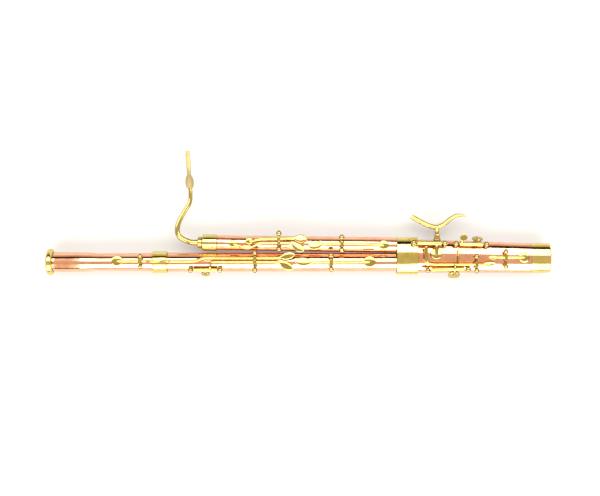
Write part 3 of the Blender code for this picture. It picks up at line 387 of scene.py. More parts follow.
# --- materials ---
class Nodes:
    """Short ways to add and join shader nodes."""

    def __init__(self, name):
        self.material = bpy.data.materials.new(name)
        self.material.use_nodes = True
        self.tree = self.material.node_tree
        self.shader = self.tree.nodes["Principled BSDF"]
        self.place = self.tree.nodes.new("ShaderNodeTexCoord").outputs["Object"]

    def add(self, kind, **settings):
        node = self.tree.nodes.new(kind)
        for key, value in settings.items():
            setattr(node, key, value)
        return node

    def link(self, start, end):
        self.tree.links.new(start, end)

    def stretched(self, scale):
        mapping = self.add("ShaderNodeMapping")
        mapping.inputs["Scale"].default_value = scale
        self.link(self.place, mapping.inputs["Vector"])
        return mapping.outputs["Vector"]

    def noise(self, scale, detail=4.0, rough=0.55, vector=None):
        node = self.add("ShaderNodeTexNoise")
        node.inputs["Scale"].default_value = scale
        node.inputs["Detail"].default_value = detail
        node.inputs["Roughness"].default_value = rough
        self.link(vector or self.place, node.inputs["Vector"])
        return node.outputs["Fac"]

    def ranged(self, value, low, high, to_low, to_high):
        node = self.add("ShaderNodeMapRange")
        for key, number in (("From Min", low), ("From Max", high), ("To Min", to_low),
                            ("To Max", to_high)):
            node.inputs[key].default_value = number
        self.link(value, node.inputs["Value"])
        return node.outputs["Result"]

    def math(self, operation, a, b):
        node = self.add("ShaderNodeMath", operation=operation, use_clamp=True)
        for socket, value in zip(node.inputs, (a, b)):
            if isinstance(value, float):
                socket.default_value = value
            else:
                self.link(value, socket)
        return node.outputs["Value"]

    def mix(self, share, a, b):
        """Blend two colours; each is a colour or the output of another node."""
        node = self.add("ShaderNodeMix", data_type="RGBA")
        self.link(share, node.inputs["Factor"])
        for key, value in (("A", a), ("B", b)):
            socket = [s for s in node.inputs if s.name == key and s.type == "RGBA"][0]
            if isinstance(value, tuple):
                socket.default_value = (*value, 1.0)
            else:
                self.link(value, socket)
        return [s for s in node.outputs if s.type == "RGBA"][0]

    def bump(self, height, strength, distance, normal=None):
        node = self.add("ShaderNodeBump")
        node.inputs["Strength"].default_value = strength
        node.inputs["Distance"].default_value = distance
        self.link(height, node.inputs["Height"])
        if normal:
            self.link(normal, node.inputs["Normal"])
        return node.outputs["Normal"]

    def crevice_shade(self, distance):
        """Painted shade mask: 1 in a corner where two pieces meet, 0 in the open."""
        node = self.add("ShaderNodeAmbientOcclusion", samples=8)
        node.inputs["Distance"].default_value = distance
        return self.ranged(node.outputs["AO"], 0.25, 0.85, 1.0, 0.0)

    def finish(self, colour, rough, normal, **plain):
        self.link(colour, self.shader.inputs["Base Color"])
        self.link(rough, self.shader.inputs["Roughness"])
        self.link(normal, self.shader.inputs["Normal"])
        for key, value in plain.items():
            self.shader.inputs[key.replace("_", " ")].default_value = value
        return self.material


def polished(name, bright, warm, patina_and_shade, rough, grain, strength=0.06):
    """Polished metal: cloudy tint, tarnish spots, painted shade in the corners in the tarnish
    colour, hairline scratches, finger haze.
    """
    n = Nodes(name)
    clouds = n.ranged(n.noise(38.0, 5.0), 0.38, 0.66, 0.0, 1.0)
    colour = n.mix(clouds, bright, warm)
    spots = n.ranged(n.noise(260.0, 6.0, 0.7), 0.60, 0.78, 0.0, 0.55)
    colour = n.mix(spots, colour, patina_and_shade)
    # Painted shade: darker in the corners where pieces meet, in the tarnish colour.
    colour = n.mix(n.math("MULTIPLY", n.crevice_shade(0.007), 0.9), colour, patina_and_shade)
    hairlines = n.noise(1.0, 3.0, 0.6, n.stretched(grain))
    haze = n.noise(75.0, 4.0)
    spread = n.math("MULTIPLY", n.ranged(hairlines, 0.35, 0.75, 0.4, 1.0),
                    n.ranged(haze, 0.35, 0.7, 0.55, 1.0))
    roughness = n.ranged(spread, 0.2, 1.0, rough * 0.65, rough * 1.7)
    normal = n.bump(hairlines, strength, 0.00012)
    normal = n.bump(n.noise(55.0, 2.0), 0.10, 0.0012, normal)
    return n.finish(colour, roughness, normal, Metallic=1.0)


def leather():
    n = Nodes("kid_leather")
    pores = n.noise(1400.0, 4.0, 0.7)
    colour = n.mix(n.ranged(n.noise(120.0), 0.35, 0.7, 0.0, 1.0), (0.62, 0.44, 0.27),
                   (0.48, 0.31, 0.17))
    colour = n.mix(n.ranged(pores, 0.55, 0.75, 0.0, 0.5), colour, (0.30, 0.18, 0.10))
    return n.finish(colour, n.ranged(pores, 0.3, 0.7, 0.55, 0.85),
                    n.bump(pores, 0.4, 0.0002), Sheen_Weight=0.15)


def cork():
    n = Nodes("tenon_cork")
    grains = n.add("ShaderNodeTexVoronoi")
    grains.inputs["Scale"].default_value = 900.0
    n.link(n.place, grains.inputs["Vector"])
    cells = n.ranged(grains.outputs["Distance"], 0.0, 0.7, 0.0, 1.0)
    colour = n.mix(cells, (0.62, 0.42, 0.24), (0.44, 0.27, 0.13))
    pits = n.ranged(n.noise(700.0, 5.0, 0.75), 0.60, 0.70, 0.0, 1.0)
    colour = n.mix(pits, colour, (0.18, 0.10, 0.05))
    return n.finish(colour, n.ranged(cells, 0.0, 1.0, 0.75, 0.95),
                    n.bump(n.math("SUBTRACT", cells, pits), 0.5, 0.0003))


def thread(name, light, dark, sheen):
    """Waxed thread: fine twisted strands, with painted shade between the turns."""
    n = Nodes(name)
    strands = n.noise(2600.0, 3.0, 0.6)
    colour = n.mix(n.ranged(strands, 0.35, 0.7, 0.0, 1.0), light, dark)
    # Painted shade: darker between the turns, where they meet.
    colour = n.mix(n.math("MULTIPLY", n.crevice_shade(0.0012), 0.8), colour, dark)
    return n.finish(colour, n.ranged(n.noise(300.0), 0.3, 0.7, 0.32, 0.6),
                    n.bump(strands, 0.45, 0.0002), Sheen_Weight=0.1, Coat_Weight=sheen,
                    Coat_Roughness=0.3)


def cane():
    """Varnished cane: long fibres, darker patches of bark here and there."""
    n = Nodes("cane")
    fibres = n.noise(1.0, 5.0, 0.65, n.stretched((1500.0, 40.0, 1500.0)))
    colour = n.mix(n.ranged(fibres, 0.3, 0.72, 0.0, 1.0), (0.40, 0.32, 0.11), (0.25, 0.18, 0.05))
    colour = n.mix(n.ranged(n.noise(60.0, 3.0), 0.45, 0.75, 0.0, 0.6), colour, (0.17, 0.12, 0.04))
    return n.finish(colour, n.ranged(fibres, 0.3, 0.7, 0.25, 0.45),
                    n.bump(fibres, 0.25, 0.0002), Coat_Weight=0.5, Coat_Roughness=0.12,
                    Metallic=0.35)


ALONG = (6.0, 1500.0, 1500.0)
ROUND = (1500.0, 60.0, 60.0)
EVERY = (500.0, 420.0, 460.0)
COPPER = ((0.90, 0.49, 0.30), (0.84, 0.40, 0.23), (0.14, 0.085, 0.065))
BRASS = ((0.74, 0.59, 0.20), (0.63, 0.48, 0.13), (0.09, 0.065, 0.025))
KEY_BRASS = ((0.54, 0.42, 0.15), (0.43, 0.33, 0.09), (0.05, 0.037, 0.015))
# Posts: painted shade, a darker copy of the key brass that stands in for the dark reflections on
# their balls.
POST_BRASS_SHADED = ((0.40, 0.31, 0.12), (0.28, 0.21, 0.07), (0.03, 0.022, 0.01))
OLIVE = ((0.56, 0.44, 0.14), (0.42, 0.31, 0.09), (0.10, 0.07, 0.02))
MATERIALS = {
    "copper": polished("drawn_copper", *COPPER, 0.11, ALONG),
    "brass": polished("turned_brass", *BRASS, 0.11, ROUND),
    "key_brass": polished("key_brass", *KEY_BRASS, 0.13, EVERY, 0.10),
    "shaded_post_brass": polished("shaded_post_brass", *POST_BRASS_SHADED, 0.13, EVERY, 0.10),
    "olive_brass": polished("aged_brass", *OLIVE, 0.22, EVERY, 0.12),
    "leather": leather(),
    "cork": cork(),
    "thread": thread("tenon_thread", (0.42, 0.06, 0.045), (0.10, 0.012, 0.01), 0.1),
    "binding": thread("reed_thread", (0.36, 0.27, 0.08), (0.08, 0.05, 0.015), 0.6),
    "cane": cane(),
}


# --- tubes, ferrules and ring ---
def chimney(start, end, radius):
    """A tone hole's raised collar with a rounded rim."""
    length = (Vector(end) - Vector(start)).length
    profile = rounded([(0, 0), (0, radius), (length, radius), (length, 0)], 0.7)
    return revolve(profile, start, end, 48)


def drill(start, end, radius, seg=40):
    return cylinder(start, end, radius, seg)


def make_boot():
    """A shell open under its cap, with a small and a large bore tube that run its whole length."""
    neck = (-117.2, 37.3, 22.6)
    ends = [(BOOT_X0, -111.6, 46.4, 24.3), (317.2, -111.6, 46.4, 24.3)]
    ends += [(x, *boot_section(x)) for x in (317.9, 400, 500, 617.3)]
    ends += [(617.4, *neck), (628, *neck)]
    hollow = [(BOOT_X0 + 4, -111.6, 44.6, 22.5), (318.6, -111.6, 44, 22.3)]
    for x in (322, 616):
        yc, half, radius = boot_section(x)
        hollow.append((x, yc, half - 2, radius - 2))
    hollow += [(616.5, -117.2, 35.6, 20.9), (640, -117.2, 35.6, 20.9)]
    shell = fused(oval(ends), remove=[oval(hollow)])
    z = AXIS_Z
    large = [(0, 21.9), (34.5, 21.9), (40, 13), (364.2, 12.6)]
    small = [(0, 16.8), (34.5, 16.8), (40, 9.8), (364.2, 9.8)]
    add = [
        revolve(large, (263.5, BASS_Y, z), (628, -135.2, z), 48),
        revolve(small, (263.5, -82.8, z), (628, -98.7, z), 48),
        chimney((364, -105, 33), (364, -105, 61.6), 11.5),
        chimney((595.9, -115.2, 33), (595.9, -115.2, 61.4), 11),
        chimney((412, -143, 39.5), (412, -156.8, 45), 12),
        chimney((475, -84.5, 38.5), (475, -71.5, 41.4), 11),
    ]
    bores = [
        drill((255, BASS_Y, z), (297.5, BASS_Y, z), 20.8),
        drill((255, -82.7, z), (297.5, -83.3, z), 15.8),
        drill((290, -128.7, z), (640, -135.4, z), 11),
        drill((290, -84, z), (640, -99.2, z), 8),
        drill((364, -107.6, 64.6), (364, -89, 36), 5.5),
        drill((595.9, -113.6, 64.2), (595.9, -131, 37), 6),
        drill((412, -170, 50.3), (412, -131, z), 6.5),
        drill((475, -52.9, 45.5), (475, -91.6, z), 5.5),
    ]
    for x in (338, 382):
        add.append(chimney((x, -83.4 - 0.0456 * (x - 290), 29), (x, -85, 11.2), 6))
        bores.append(drill((x, -84 - 0.0434 * (x - 290), z), (x, -85, 2), 4))
    piece("boot_body", fused(shell, add, bores), "copper", edge=0.25)


def make_boot_ends():
    x0, x1 = (corner.x for corner in corners("boot_ferrule"))
    y = middle("boot_ferrule").y
    band = rounded([
        (x0, y, 48.8, 26.6), (x0 + 1, y, 49.4, 27.2), (x1 - 1, y, 49.4, 27.2),
        (x1, y, 48.6, 26.4), (x1, y, 46.8, 24.7), (x0, y, 46.8, 24.7),
    ], 0.5, closed=True)
    piece("boot_ferrule", oval(band, closed=True), "brass")

    y, half, height, bend = middle("boot_cap").y, 39.5, 24.7, 5.4
    mouth = CAP_X1 - 52
    shell = [(mouth, y, half, height), (CAP_X1 - bend, y, half, height)]
    for k in range(1, 9):
        a = math.pi / 16 * k
        inset = bend * (1 - math.cos(a))
        shell.append((CAP_X1 - bend + bend * math.sin(a), y, half - inset, height - inset))
    inner = [(x, y, half - inset, height - inset)
             for x, inset in ((mouth, 1.7), (CAP_X1 - 6, 1.7), (CAP_X1 - 3, 4),
                              (CAP_X1 - 2.4, 7))]
    piece("boot_cap", oval(shell[::-1] + inner), "brass")


def make_u_tube():
    ya, yb = -98.7, -135.3
    x0 = corners("u_tube")[0].x + 1.9
    mid, bend = (ya + yb) / 2, (ya - yb) / 2
    path = [(x0, ya), (x0 + 3, ya)]
    for i in range(1, 24):
        a = math.pi * i / 24
        path.append((x0 + 5 + bend * math.sin(a), mid + bend * math.cos(a)))
    path += [(x0 + 3, yb), (x0, yb)]
    plate = [(x0 - 1.9, mid, 33.5, 15), (x0 + 0.7, mid, 33.5, 15)]
    hole = [(x0 - 6, ya), (x0 - 2, ya)] + path[1:-1] + [(x0 - 2, yb), (x0 - 6, yb)]
    bar = sweep([(x, y, AXIS_Z, 10.6, 10.6) for x, y in path], 40, 1)
    bore = sweep([(x, y, AXIS_Z, 8.4, 8.4) for x, y in hole], 40, 1)
    piece("u_tube", fused(bar, [stadium(plate)], [bore]), "brass", edge=0.3)

    low, high = corners("u_tube_gasket")
    mid = middle("u_tube_gasket").y
    sheet = stadium([(low.x, mid, 33.5, 15), (high.x, mid, 33.5, 15)])
    holes = [drill((620, ya, AXIS_Z), (640, ya, AXIS_Z), 8.6),
             drill((620, yb, AXIS_Z), (640, yb, AXIS_Z), 11.2)]
    piece("u_tube_gasket", fused(sheet, remove=holes), "cork", edge=0.2)


def joint_profile(length, ends, shoulder, head, tenons, bores):
    """A double-walled tube; its tenons reach head before its start and 35 past its end."""
    r0, r1 = ends
    upper, lower = tenons
    foot_bore, head_bore, head_wall, foot_wall, tenon_wall = bores
    return [
        (-head, upper - 0.6), (0.6 - head, upper), (-0.3, upper), (-0.1, r0 - shoulder),
        (shoulder, r0), (length - shoulder, r1), (length + 0.1, r1 - shoulder),
        (length + 0.3, lower), (length + 34.4, lower), (length + 35, lower - 0.6),
        (length + 35, foot_bore), (-head, head_bore), (-head, head_wall),
        (length - 4, foot_wall), (length - 4, r1 - WALL), (3, r0 - WALL), (3, tenon_wall),
        (-head, tenon_wall),
    ]


def make_bass():
    length = BASS_X1 - BASS_X0
    profile = joint_profile(length, (25.4, 24.4), 0.9, 33, (19.6, 19), (12, 15.5, 17.1, 13.8, 18))
    start, end = (BASS_X0, BASS_Y, AXIS_Z), (BASS_X1, BASS_Y, AXIS_Z)
    side_y, side_z = on_tube(BASS_Y, 25.2, -75, 1.6)
    out_y, out_z = on_tube(BASS_Y, 25.2, -75, 20)
    add = [
        chimney((186.8, -127.4, 46.5), (186.8, -127.4, 62.3), 14),
        chimney((-247, *on_tube(BASS_Y, 15.5, -75, 0)), (-247, side_y, side_z), 10.5),
    ]
    remove = [
        drill((186.8, -127.4, 75), (186.8, -127.4, AXIS_Z), 8),
        drill((-247, out_y, out_z), (-247, BASS_Y, AXIS_Z), 7),
    ]
    tube = revolve(profile, start, end, closed=True)
    piece("bass_tube", fused(tube, add, remove), "copper", edge=0.25)


def make_bell():
    x0 = corners("bell_tube")[0].x
    outer = [(0, 25.6), (15, 26), (72, 26), (86, 25.5), (100, 24.5), (113, 23.7),
             (126, 23.4), (175, 23.4), (266.5, 24.4), (305.2, 24.4)]
    outer = catmull(outer[:8], 3) + outer[8:]
    inner = [(305.5, 20.7), (271, 20.7), (262, 22.6), (175, 21.8), (126, 21.8),
             (100, 22.9), (72, 24.4), (0, 24)]
    tube = revolve(outer + inner, (x0, BASS_Y, AXIS_Z), (0, BASS_Y, AXIS_Z), closed=True)
    hole = (-478.3, -125.2)
    add = [chimney((*hole, 53.5), (*hole, 61.2), 12.5)]
    remove = [drill((*hole, 75), (-478.3, -126, AXIS_Z), 8)]
    piece("bell_tube", fused(tube, add, remove), "copper", edge=0.25)

    rim = []
    for i in range(28):
        a = 2 * math.pi * (i + 0.5) / 28
        rim.append((8.5 + 8.5 * math.cos(a), max(28 + 8 * math.sin(a), 22.4)))
    centre = (RING_X0, BASS_Y, AXIS_Z)
    ring = revolve(rim, centre, (0, BASS_Y, AXIS_Z), 96, closed=True)
    seat = drill((RING_X0 + 14.7, BASS_Y, AXIS_Z), (RING_X0 + 30, BASS_Y, AXIS_Z), 26.3, 96)
    piece("bell_ring", fused(ring, remove=[seat]), "brass")

    length = FERRULE_X1 - FERRULE_X0
    band = rounded([(0, 27.6), (0.9, 28.9), (length - 0.9, 28.9), (length, 27.6),
                    (length, 24.7), (0, 24.7)], 0.6, closed=True)
    piece("bell_ferrule", revolve(band, (FERRULE_X0, BASS_Y, AXIS_Z), (0, BASS_Y, AXIS_Z),
                                  closed=True), "brass")


def make_wing():
    along = (WING_FOOT - WING_HEAD).normalized()
    length = (WING_FOOT - WING_HEAD).length
    profile = joint_profile(length, (19.9, 20.3), 0.8, 22, (15, 14.2), (7.5, 5, 6.8, 9.4, 13.2))
    tops = [(-173.2, -79.2, 58.2, 8.5, 3.5), (-130, -72.5, 58.2, 8, 3.5),
            (224.5, -83, 58.4, 10.5, 4.5)]
    add = [chimney((x, y, 41), (x, y, z), r) for x, y, z, r, _ in tops]
    remove = [drill((x, y, 75), (x, wing_y(x), AXIS_Z), hole) for x, y, _, _, hole in tops]
    for x in FINGER_HOLES_X:
        add.append(chimney((x, wing_y(x), 28.4), (x, wing_y(x), 17.4 - 1.9), 5.4))
        remove.append(drill((x, wing_y(x), AXIS_Z), (x, wing_y(x), 2), 3.2))
    tube = revolve(profile, WING_HEAD, WING_FOOT, closed=True)
    piece("wing_tube", fused(tube, add, remove), "copper", edge=0.25)

    band = rounded([(-39.6, 19), (-38.4, 21.2), (-36.6, 22), (-1.4, 22), (-0.3, 21),
                    (-0.3, 15.3), (-22.3, 15.3), (-22.6, 12.1), (-39.6, 12.1)], 0.5, closed=True)
    piece("wing_ferrule", revolve(band, WING_HEAD, WING_FOOT, closed=True), "brass")
    cup_band = rounded([(-51.5, 10.2), (-51.5, 13.4), (-50.2, 14.9), (-41.2, 14.9), (-39.9, 13.8),
                        (-39.9, 11.8), (-22.6, 11.8), (-22.6, 8.9), (-46, 9.4)], 0.5,
                       closed=True)
    piece("bocal_receiver", revolve(cup_band, WING_HEAD, WING_HEAD + along, closed=True),
          "olive_brass")


def wound(x0, x1, radius, inner, pitch=0.9):
    """A profile of thread turns lying side by side."""
    turns = int((x1 - x0) / pitch)
    out = [(x0, inner)]
    for i in range(turns * 5 + 1):
        bulge = abs(math.sin(math.pi * i / 5))
        out.append((x0 + (x1 - x0) * i / (turns * 5), radius - 0.25 + 0.25 * bulge))
    out.append((x1, inner))
    return out


def make_wraps():
    """Waxed thread wound on the tenons, so that the joints hold in their sockets."""
    bass = (BASS_X0, BASS_Y, AXIS_Z), (BASS_X1, BASS_Y, AXIS_Z)
    bass_foot = BASS_X1 - BASS_X0
    wing = WING_HEAD, WING_FOOT
    wing_foot = (WING_FOOT - WING_HEAD).length
    for name, line, turns in (
        ("bass_upper_wrap", bass, wound(-30, -4, 20.4, 19.9)),
        ("bass_lower_wrap", bass, wound(bass_foot + 5, bass_foot + 32, 20.3, 19.3)),
        ("wing_wrap", wing, wound(wing_foot + 5, wing_foot + 32, 15.3, 14.5)),
    ):
        piece(name, revolve(turns, *line, 56, closed=True), "thread")


# --- bocal and reed ---
def make_bocal():
    path = [
        (-243, -76.05, 7.4), (-252, -75.93, 7.4), (-268.1, -75.71, 7.4), (-287, -75, 7.3),
        (-305.7, -68.2, 7.1), (-318.7, -58.9, 6.9), (-323.3, -45.9, 6.8), (-321.4, -27.2, 6.6),
        (-313.1, -8.5, 6.3), (-301.9, 10.1, 6), (-292.6, 25.1, 5.8), (-288.6, 38, 5.6),
        (-288.2, 52, 5.5), (-288.8, 66, 5.3), (-290.4, 82, 5),
    ]
    bar = [(x, y, AXIS_Z, r, r) for x, y, r in path]
    piece("bocal_tube", sweep(bar, 40, 8, bore=(4.6, 2.4)), "key_brass")
    band = rounded([(0, 7.8), (0, 8.5), (17, 8.6), (17, 7.8)], 0.3, closed=True)
    piece("bocal_cork", revolve(band, (-243.5, wing_y(-243.5), AXIS_Z),
                                (-300, wing_y(-300), AXIS_Z), 56, closed=True), "cork")


def make_reed():
    start, end = Vector((-289.2, 68.5, AXIS_Z)), Vector((-292.6, 103.5, AXIS_Z))
    bulb = catmull([(0, 6.6), (4, 9.4), (10, 11.3), (16, 11.7), (22, 11.2),
                    (29, 9.2), (34, 7), (35, 6.2)], 26)
    profile = [(0, 5.7)]
    for distance, radius in bulb:
        profile.append((distance, radius - 0.35 * (1 - abs(math.sin(math.pi * distance / 1.15)))))
    profile.append((35, 5.7))
    piece("reed_binding", revolve(profile, start, end, 56, closed=True), "binding", sharp=80)

    base, tip = Vector((-290.9, 86, AXIS_Z)), Vector((-296.2, 169.3, AXIS_Z))
    across = (tip - base).normalized().cross(UP)
    stations = catmull([(0, 4.6, 2.6, 0.35), (0.2, 5, 2.75, 0.35), (0.35, 5.4, 2.8, 0.35),
                        (0.45, 6, 2.5, 0.35), (0.75, 6.6, 1.6, 0.3), (1, 6.9, 0.6, 0.2)], 6)
    for name, sign in (("reed_blade_upper", 1), ("reed_blade_lower", -1)):
        bm = bmesh.new()
        rings = []
        for t, wide, thick, lift in stations:
            centre = base + (tip - base) * t
            ring = []
            for i in range(25):
                a = math.pi * i / 24
                rise = UP * sign * (lift + thick * math.sin(a))
                ring.append(bm.verts.new(centre + across * wide * math.cos(a) + rise))
            rings.append(ring)
        piece(name, skin(bm, rings), "cane", edge=0.15)


# --- keywork ---
def posts(name, ends, feet, ball_r=BALL_R):
    """A pivot bar between two balls, each on a leg, with a slotted screw in each ball's end."""
    a, b = Vector(ends[0]), Vector(ends[1])
    along = (b - a).normalized()
    add, remove = [], []
    for centre, outward, (knee, foot) in ((a, -along, feet[0]), (b, along, feet[1])):
        knee, foot = Vector(knee), Vector(foot)
        down = (foot - knee).normalized()
        side = Vector((0, 1, 0)) if abs(down.x) > 0.9 else Vector((1, 0, 0))
        path = [(*centre, 2.8, 2.8), (*knee, 2.8, 2.8), (*(foot - down * 2), 3, 3),
                (*(foot - down * 0.6), 4.4, 4.4), (*(foot + down * 1.3), 5, 5)]
        head = centre + outward * (ball_r - 1.2)
        tip = centre + outward * (ball_r + 0.5)
        add += [ball(centre, ball_r), sweep(path, 20, 4, up=side),
                cylinder(head, tip, 3.1, 28, edge=0.35)]
        remove.append(slot_cutter(tip, outward))
    bar = cylinder(a, b, BAR_R, 28)
    # The darker post brass is painted shade.
    piece(name, fused(bar, add, remove), "shaded_post_brass", edge=0.35)


def tube_foot(x, y, radius, angle, knee=6):
    """Knee and foot of a leg that stands square on a tube."""
    return tuple((x, *on_tube(y, radius, angle, h)) for h in (knee, 0.4))


def cross_posts(name, x, z, ys, tube, angles, ball_r=BALL_R):
    """Posts on both sides of a tube with their bar across it; tube is its (y, radius)."""
    feet = [tube_foot(x, *tube, angle) for angle in angles]
    posts(name, [(x, y, z) for y in ys], feet, ball_r)


def cup(centre, radius, direction=UP, height=5):
    """A shallow domed cup, open below for its pad; centre is the middle of its rim."""
    start = Vector(centre)
    dome = []
    for k in range(10):
        a = math.pi / 20 * k
        dome.append((height * (0.45 + 0.6 * math.sin(a)), radius * math.cos(a)))
    profile = [(2.4, 0), (2.4, radius - 0.9), (0, radius - 0.9), (0, radius)]
    profile += dome + [(height * 1.05, 0)]
    return revolve(rounded(profile[:5], 0.25) + profile[5:], start, start + Vector(direction), 48)


def pad(name, centre, radius, direction=UP, swing=None):
    """A leather-covered felt disc with a soft rolled edge."""
    start = Vector(centre)
    profile = rounded([(-0.8, 0), (-0.8, radius - 2.2), (0, radius - 1.2), (2.1, radius - 1.2),
                       (2.1, 0)], 0.7, 4)
    bm = revolve(profile, start, start + Vector(direction), 48)
    if swing:
        turned([bm], *swing)
    piece(name, bm, "leather")


ACROSS = (0, 1, 0)
PLATE_THICK = 1.7
PLATE_UP = (0, 0.17, 0.985)     # touch plates lean a little to +Y


def lever(name, path, pivot, along, barrel=5, extra=(), swing=None, up=PLATE_UP):
    """A key: a swept wire, a hinge barrel about its pivot and whatever is soldered to it."""
    pivot, along = Vector(pivot), Vector(along).normalized()
    half = along * barrel
    wire = sweep(path, 24, 6, up=up, dome=1)
    tube = cylinder(pivot - half, pivot + half, 5.6, 40, edge=0.6)
    hole = cylinder(pivot - half * 3, pivot + half * 3, BAR_R + 0.3, 28)
    parts = [wire, tube, hole, *extra]
    if swing:
        turned(parts, *swing)
    piece(name, fused(wire, [tube, *extra], [hole]), "key_brass", edge=0.45)


def padded_lever(name, path, pivot, along, barrel, seat, radius, swing=None):
    """A lever with a cup at its end, and the pad in the cup."""
    lever(name, path, pivot, along, barrel, [cup(seat, radius)], swing)
    pad(name.replace("_key", "_pad"), seat, radius, swing=swing)


def spatula(start, end, width):
    """Touch plate stations from the wire's end to the tip."""
    a, b = Vector(start), Vector(end)
    out = []
    for t, w in ((0, 0.45), (0.22, 0.86), (0.5, 1), (0.75, 0.84), (0.93, 0.35), (1, 0.08)):
        p = a + (b - a) * t
        out.append((p.x, p.y, p.z, width * w, PLATE_THICK * (1 if t < 0.9 else 0.7)))
    return out


def wing_keys():
    z, w = 66, WIRE_R
    cross_posts("wing_pivot_a", -52, z, (-51.8, -93.2), (wing_y(-52), 20.05), (48, -33))
    seat = (-130, -72.5, 59.4)
    path = [(-130, -72.5, 64.2, 2.2, 1.6), (-126, -72.5, 65, w, 2.6), (-112, -69.4, z, w, w),
            (-97, -66.4, z, w, w), (-84, -65.8, z, w, w), (-52, -65.6, z, w, w),
            (-26, -65.2, z, w, w), (-16, -65, z + 0.5, w, 2.6)]
    path += spatula((-10, -65, z + 1), (22.5, -66.8, z + 0.5), 10.6)
    padded_lever("wing_key_1", path, (-52, -65.6, z), ACROSS, 5, seat, 9.8)
    seat = (-173.2, -79.2, 59.4)
    path = [(-173.2, -79.2, 64.2, 2.2, 1.6), (-169, -80.5, 65, w, 2.6), (-155, -85.6, z, w, w),
            (-138, -90.4, z, w, w), (-124, -88.4, z, w, w), (-111, -81, z, w, w),
            (-98, -77.3, z, w, w), (-52, -76.9, z, w, w), (-30, -77.2, z, w, w),
            (-20, -78.5, z + 0.5, w, 2.6)]
    path += spatula((-15, -80.5, z + 1), (14, -98.5, z + 0.5), 10.6)
    padded_lever("wing_key_2", path, (-52, -76.9, z), ACROSS, 5, seat, 10.6)

    cross_posts("wing_pivot_b", 114, z, (-62.4, -95.6), (wing_y(114), 20.2), (40, -38))
    seat = (224.5, -83, 59.6)
    path = spatula((60, -80.2, z + 0.6), (24, -84.8, z + 0.8), 12)[::-1]
    path += [(68, -79.8, z + 0.3, w, 3), (80, -79.6, z, w, w), (114, -79.7, z, w, w),
             (170, -80.2, z, w, w), (205, -81.6, z, w, w), (216, -82.6, 65.2, w, 2.8),
             (224.5, -83, 64.4, 2.2, 1.6)]
    padded_lever("wing_key_3", path, (114, -79.7, z), ACROSS, 7, seat, 13.2)


def low_thumb_levers():
    z, w = 71, WIRE_R
    cross_posts("bass_pivot_a", -115.5, z, (-103.2, -148.4), (BASS_Y, 25), (41, -34))
    path = [(-376, -125.8, 68.2, 2.2, 1.5), (-370, -125.8, 68.4, 2.8, 1.8),
            (-350, -125.8, 69.6, w, 3.2), (-335, -125.8, z, w, w), (-290, -126, z, w, w),
            (-274, -125.2, z, w, w), (-262, -121, z, w, w), (-250, -117.8, z, w, w),
            (-236, -117.4, z, w, w), (-180, -117.4, z, w, w), (-115.5, -117.4, z, w, w),
            (-66, -117.2, z, w, w), (-54, -116.6, z, w, 3)]
    path += spatula((-47, -115.6, z + 0.4), (-10, -107.2, z + 0.8), 9.2)
    lever("low_b_flat_lever", path, (-115.5, -117.4, z), ACROSS, 4.6, up=UP)
    path = [(-234, -139.5, 65, 1.9, 1.9), (-233.8, -135, 65.2, 2.4, 2.4),
            (-231, -129.5, 67.5, 3.2, 3.2), (-224, -127.4, z, w, w), (-200, -127.4, z, w, w),
            (-115.5, -127.4, z, w, w), (-66, -127.8, z, w, w), (-54, -128.8, z, w, 3)]
    path += spatula((-48, -130, z + 0.4), (-14.5, -146.5, z + 0.6), 10.2)
    lever("low_b_lever", path, (-115.5, -127.4, z), ACROSS, 4.6, up=UP)


def bass_keys():
    z, w = 71, WIRE_R
    low_thumb_levers()
    cross_posts("bass_pivot_b", 85.7, z, (-110, -146), (BASS_Y, 24.7), (33, -33))
    seat = (186.8, -127.4, 63.5)
    path = spatula((31, -127.2, z + 0.6), (-10.8, -125.2, z + 0.8), 11.2)[::-1]
    path += [(40, -127.6, z + 0.3, w, 3), (52, -128, z, w, w), (85.7, -128.2, z, w, w),
             (140, -128, z, w, w), (168, -127.6, z, w, w), (178, -127.4, 69.4, w, 3),
             (186.8, -127.4, 68.6, 2.2, 1.6)]
    padded_lever("low_c_key", path, (85.7, -128.2, z), ACROSS, 8, seat, 15.8)

    axis_y, axis_z = on_tube(BASS_Y, 25.2, -37.6, 7.9)
    posts("low_b_pivot", [(-286, axis_y, axis_z), (-208, axis_y, axis_z)],
          [tube_foot(x, BASS_Y, 25.3, -37.6, 5) for x in (-286, -208)], 6.8)
    top = [(-234, axis_y, axis_z, 3, 3), (-234, axis_y + 5, axis_z + 6.5, 2.6, 2.6),
           (-234, -137, 71, 2.2, 2), (-234, -133.5, 70.6, 1.6, 1.4)]
    flank_key("low_b_key", [(-278, axis_y, axis_z), (-216, axis_y, axis_z)], BASS_Y, 25.2,
              -75, -247, 12, -9, [top], [], 1.6)

    z = 69.5
    cross_posts("bell_pivot", -418.7, z, (-112, -139.6), (BASS_Y, 24.2), (27, -20), 5.6)
    path = [(-366.5, -125.8, 80.2, 2, 1.4), (-372, -125.8, 79.8, 2.8, 1.8),
            (-384, -125.8, 78.2, 3.5, 2.6), (-400, -125.7, 74.6, 3.6, 3.4),
            (-418.7, -125.5, z, 3.7, 3.7), (-440, -125.2, z, 3.7, 3.7),
            (-462, -125.2, z - 0.2, 3.7, 3.2), (-470, -125.2, z - 1.2, 3.6, 2.6),
            (-478.3, -125.2, z - 2.2, 2, 1.6)]
    swing = ((-418.7, -125.5, z), ACROSS, 6.5)
    seat = (-478.3, -125.2, 62.4)
    padded_lever("bell_key", path, (-418.7, -125.5, z), ACROSS, 6.5, seat, 14.6, swing)


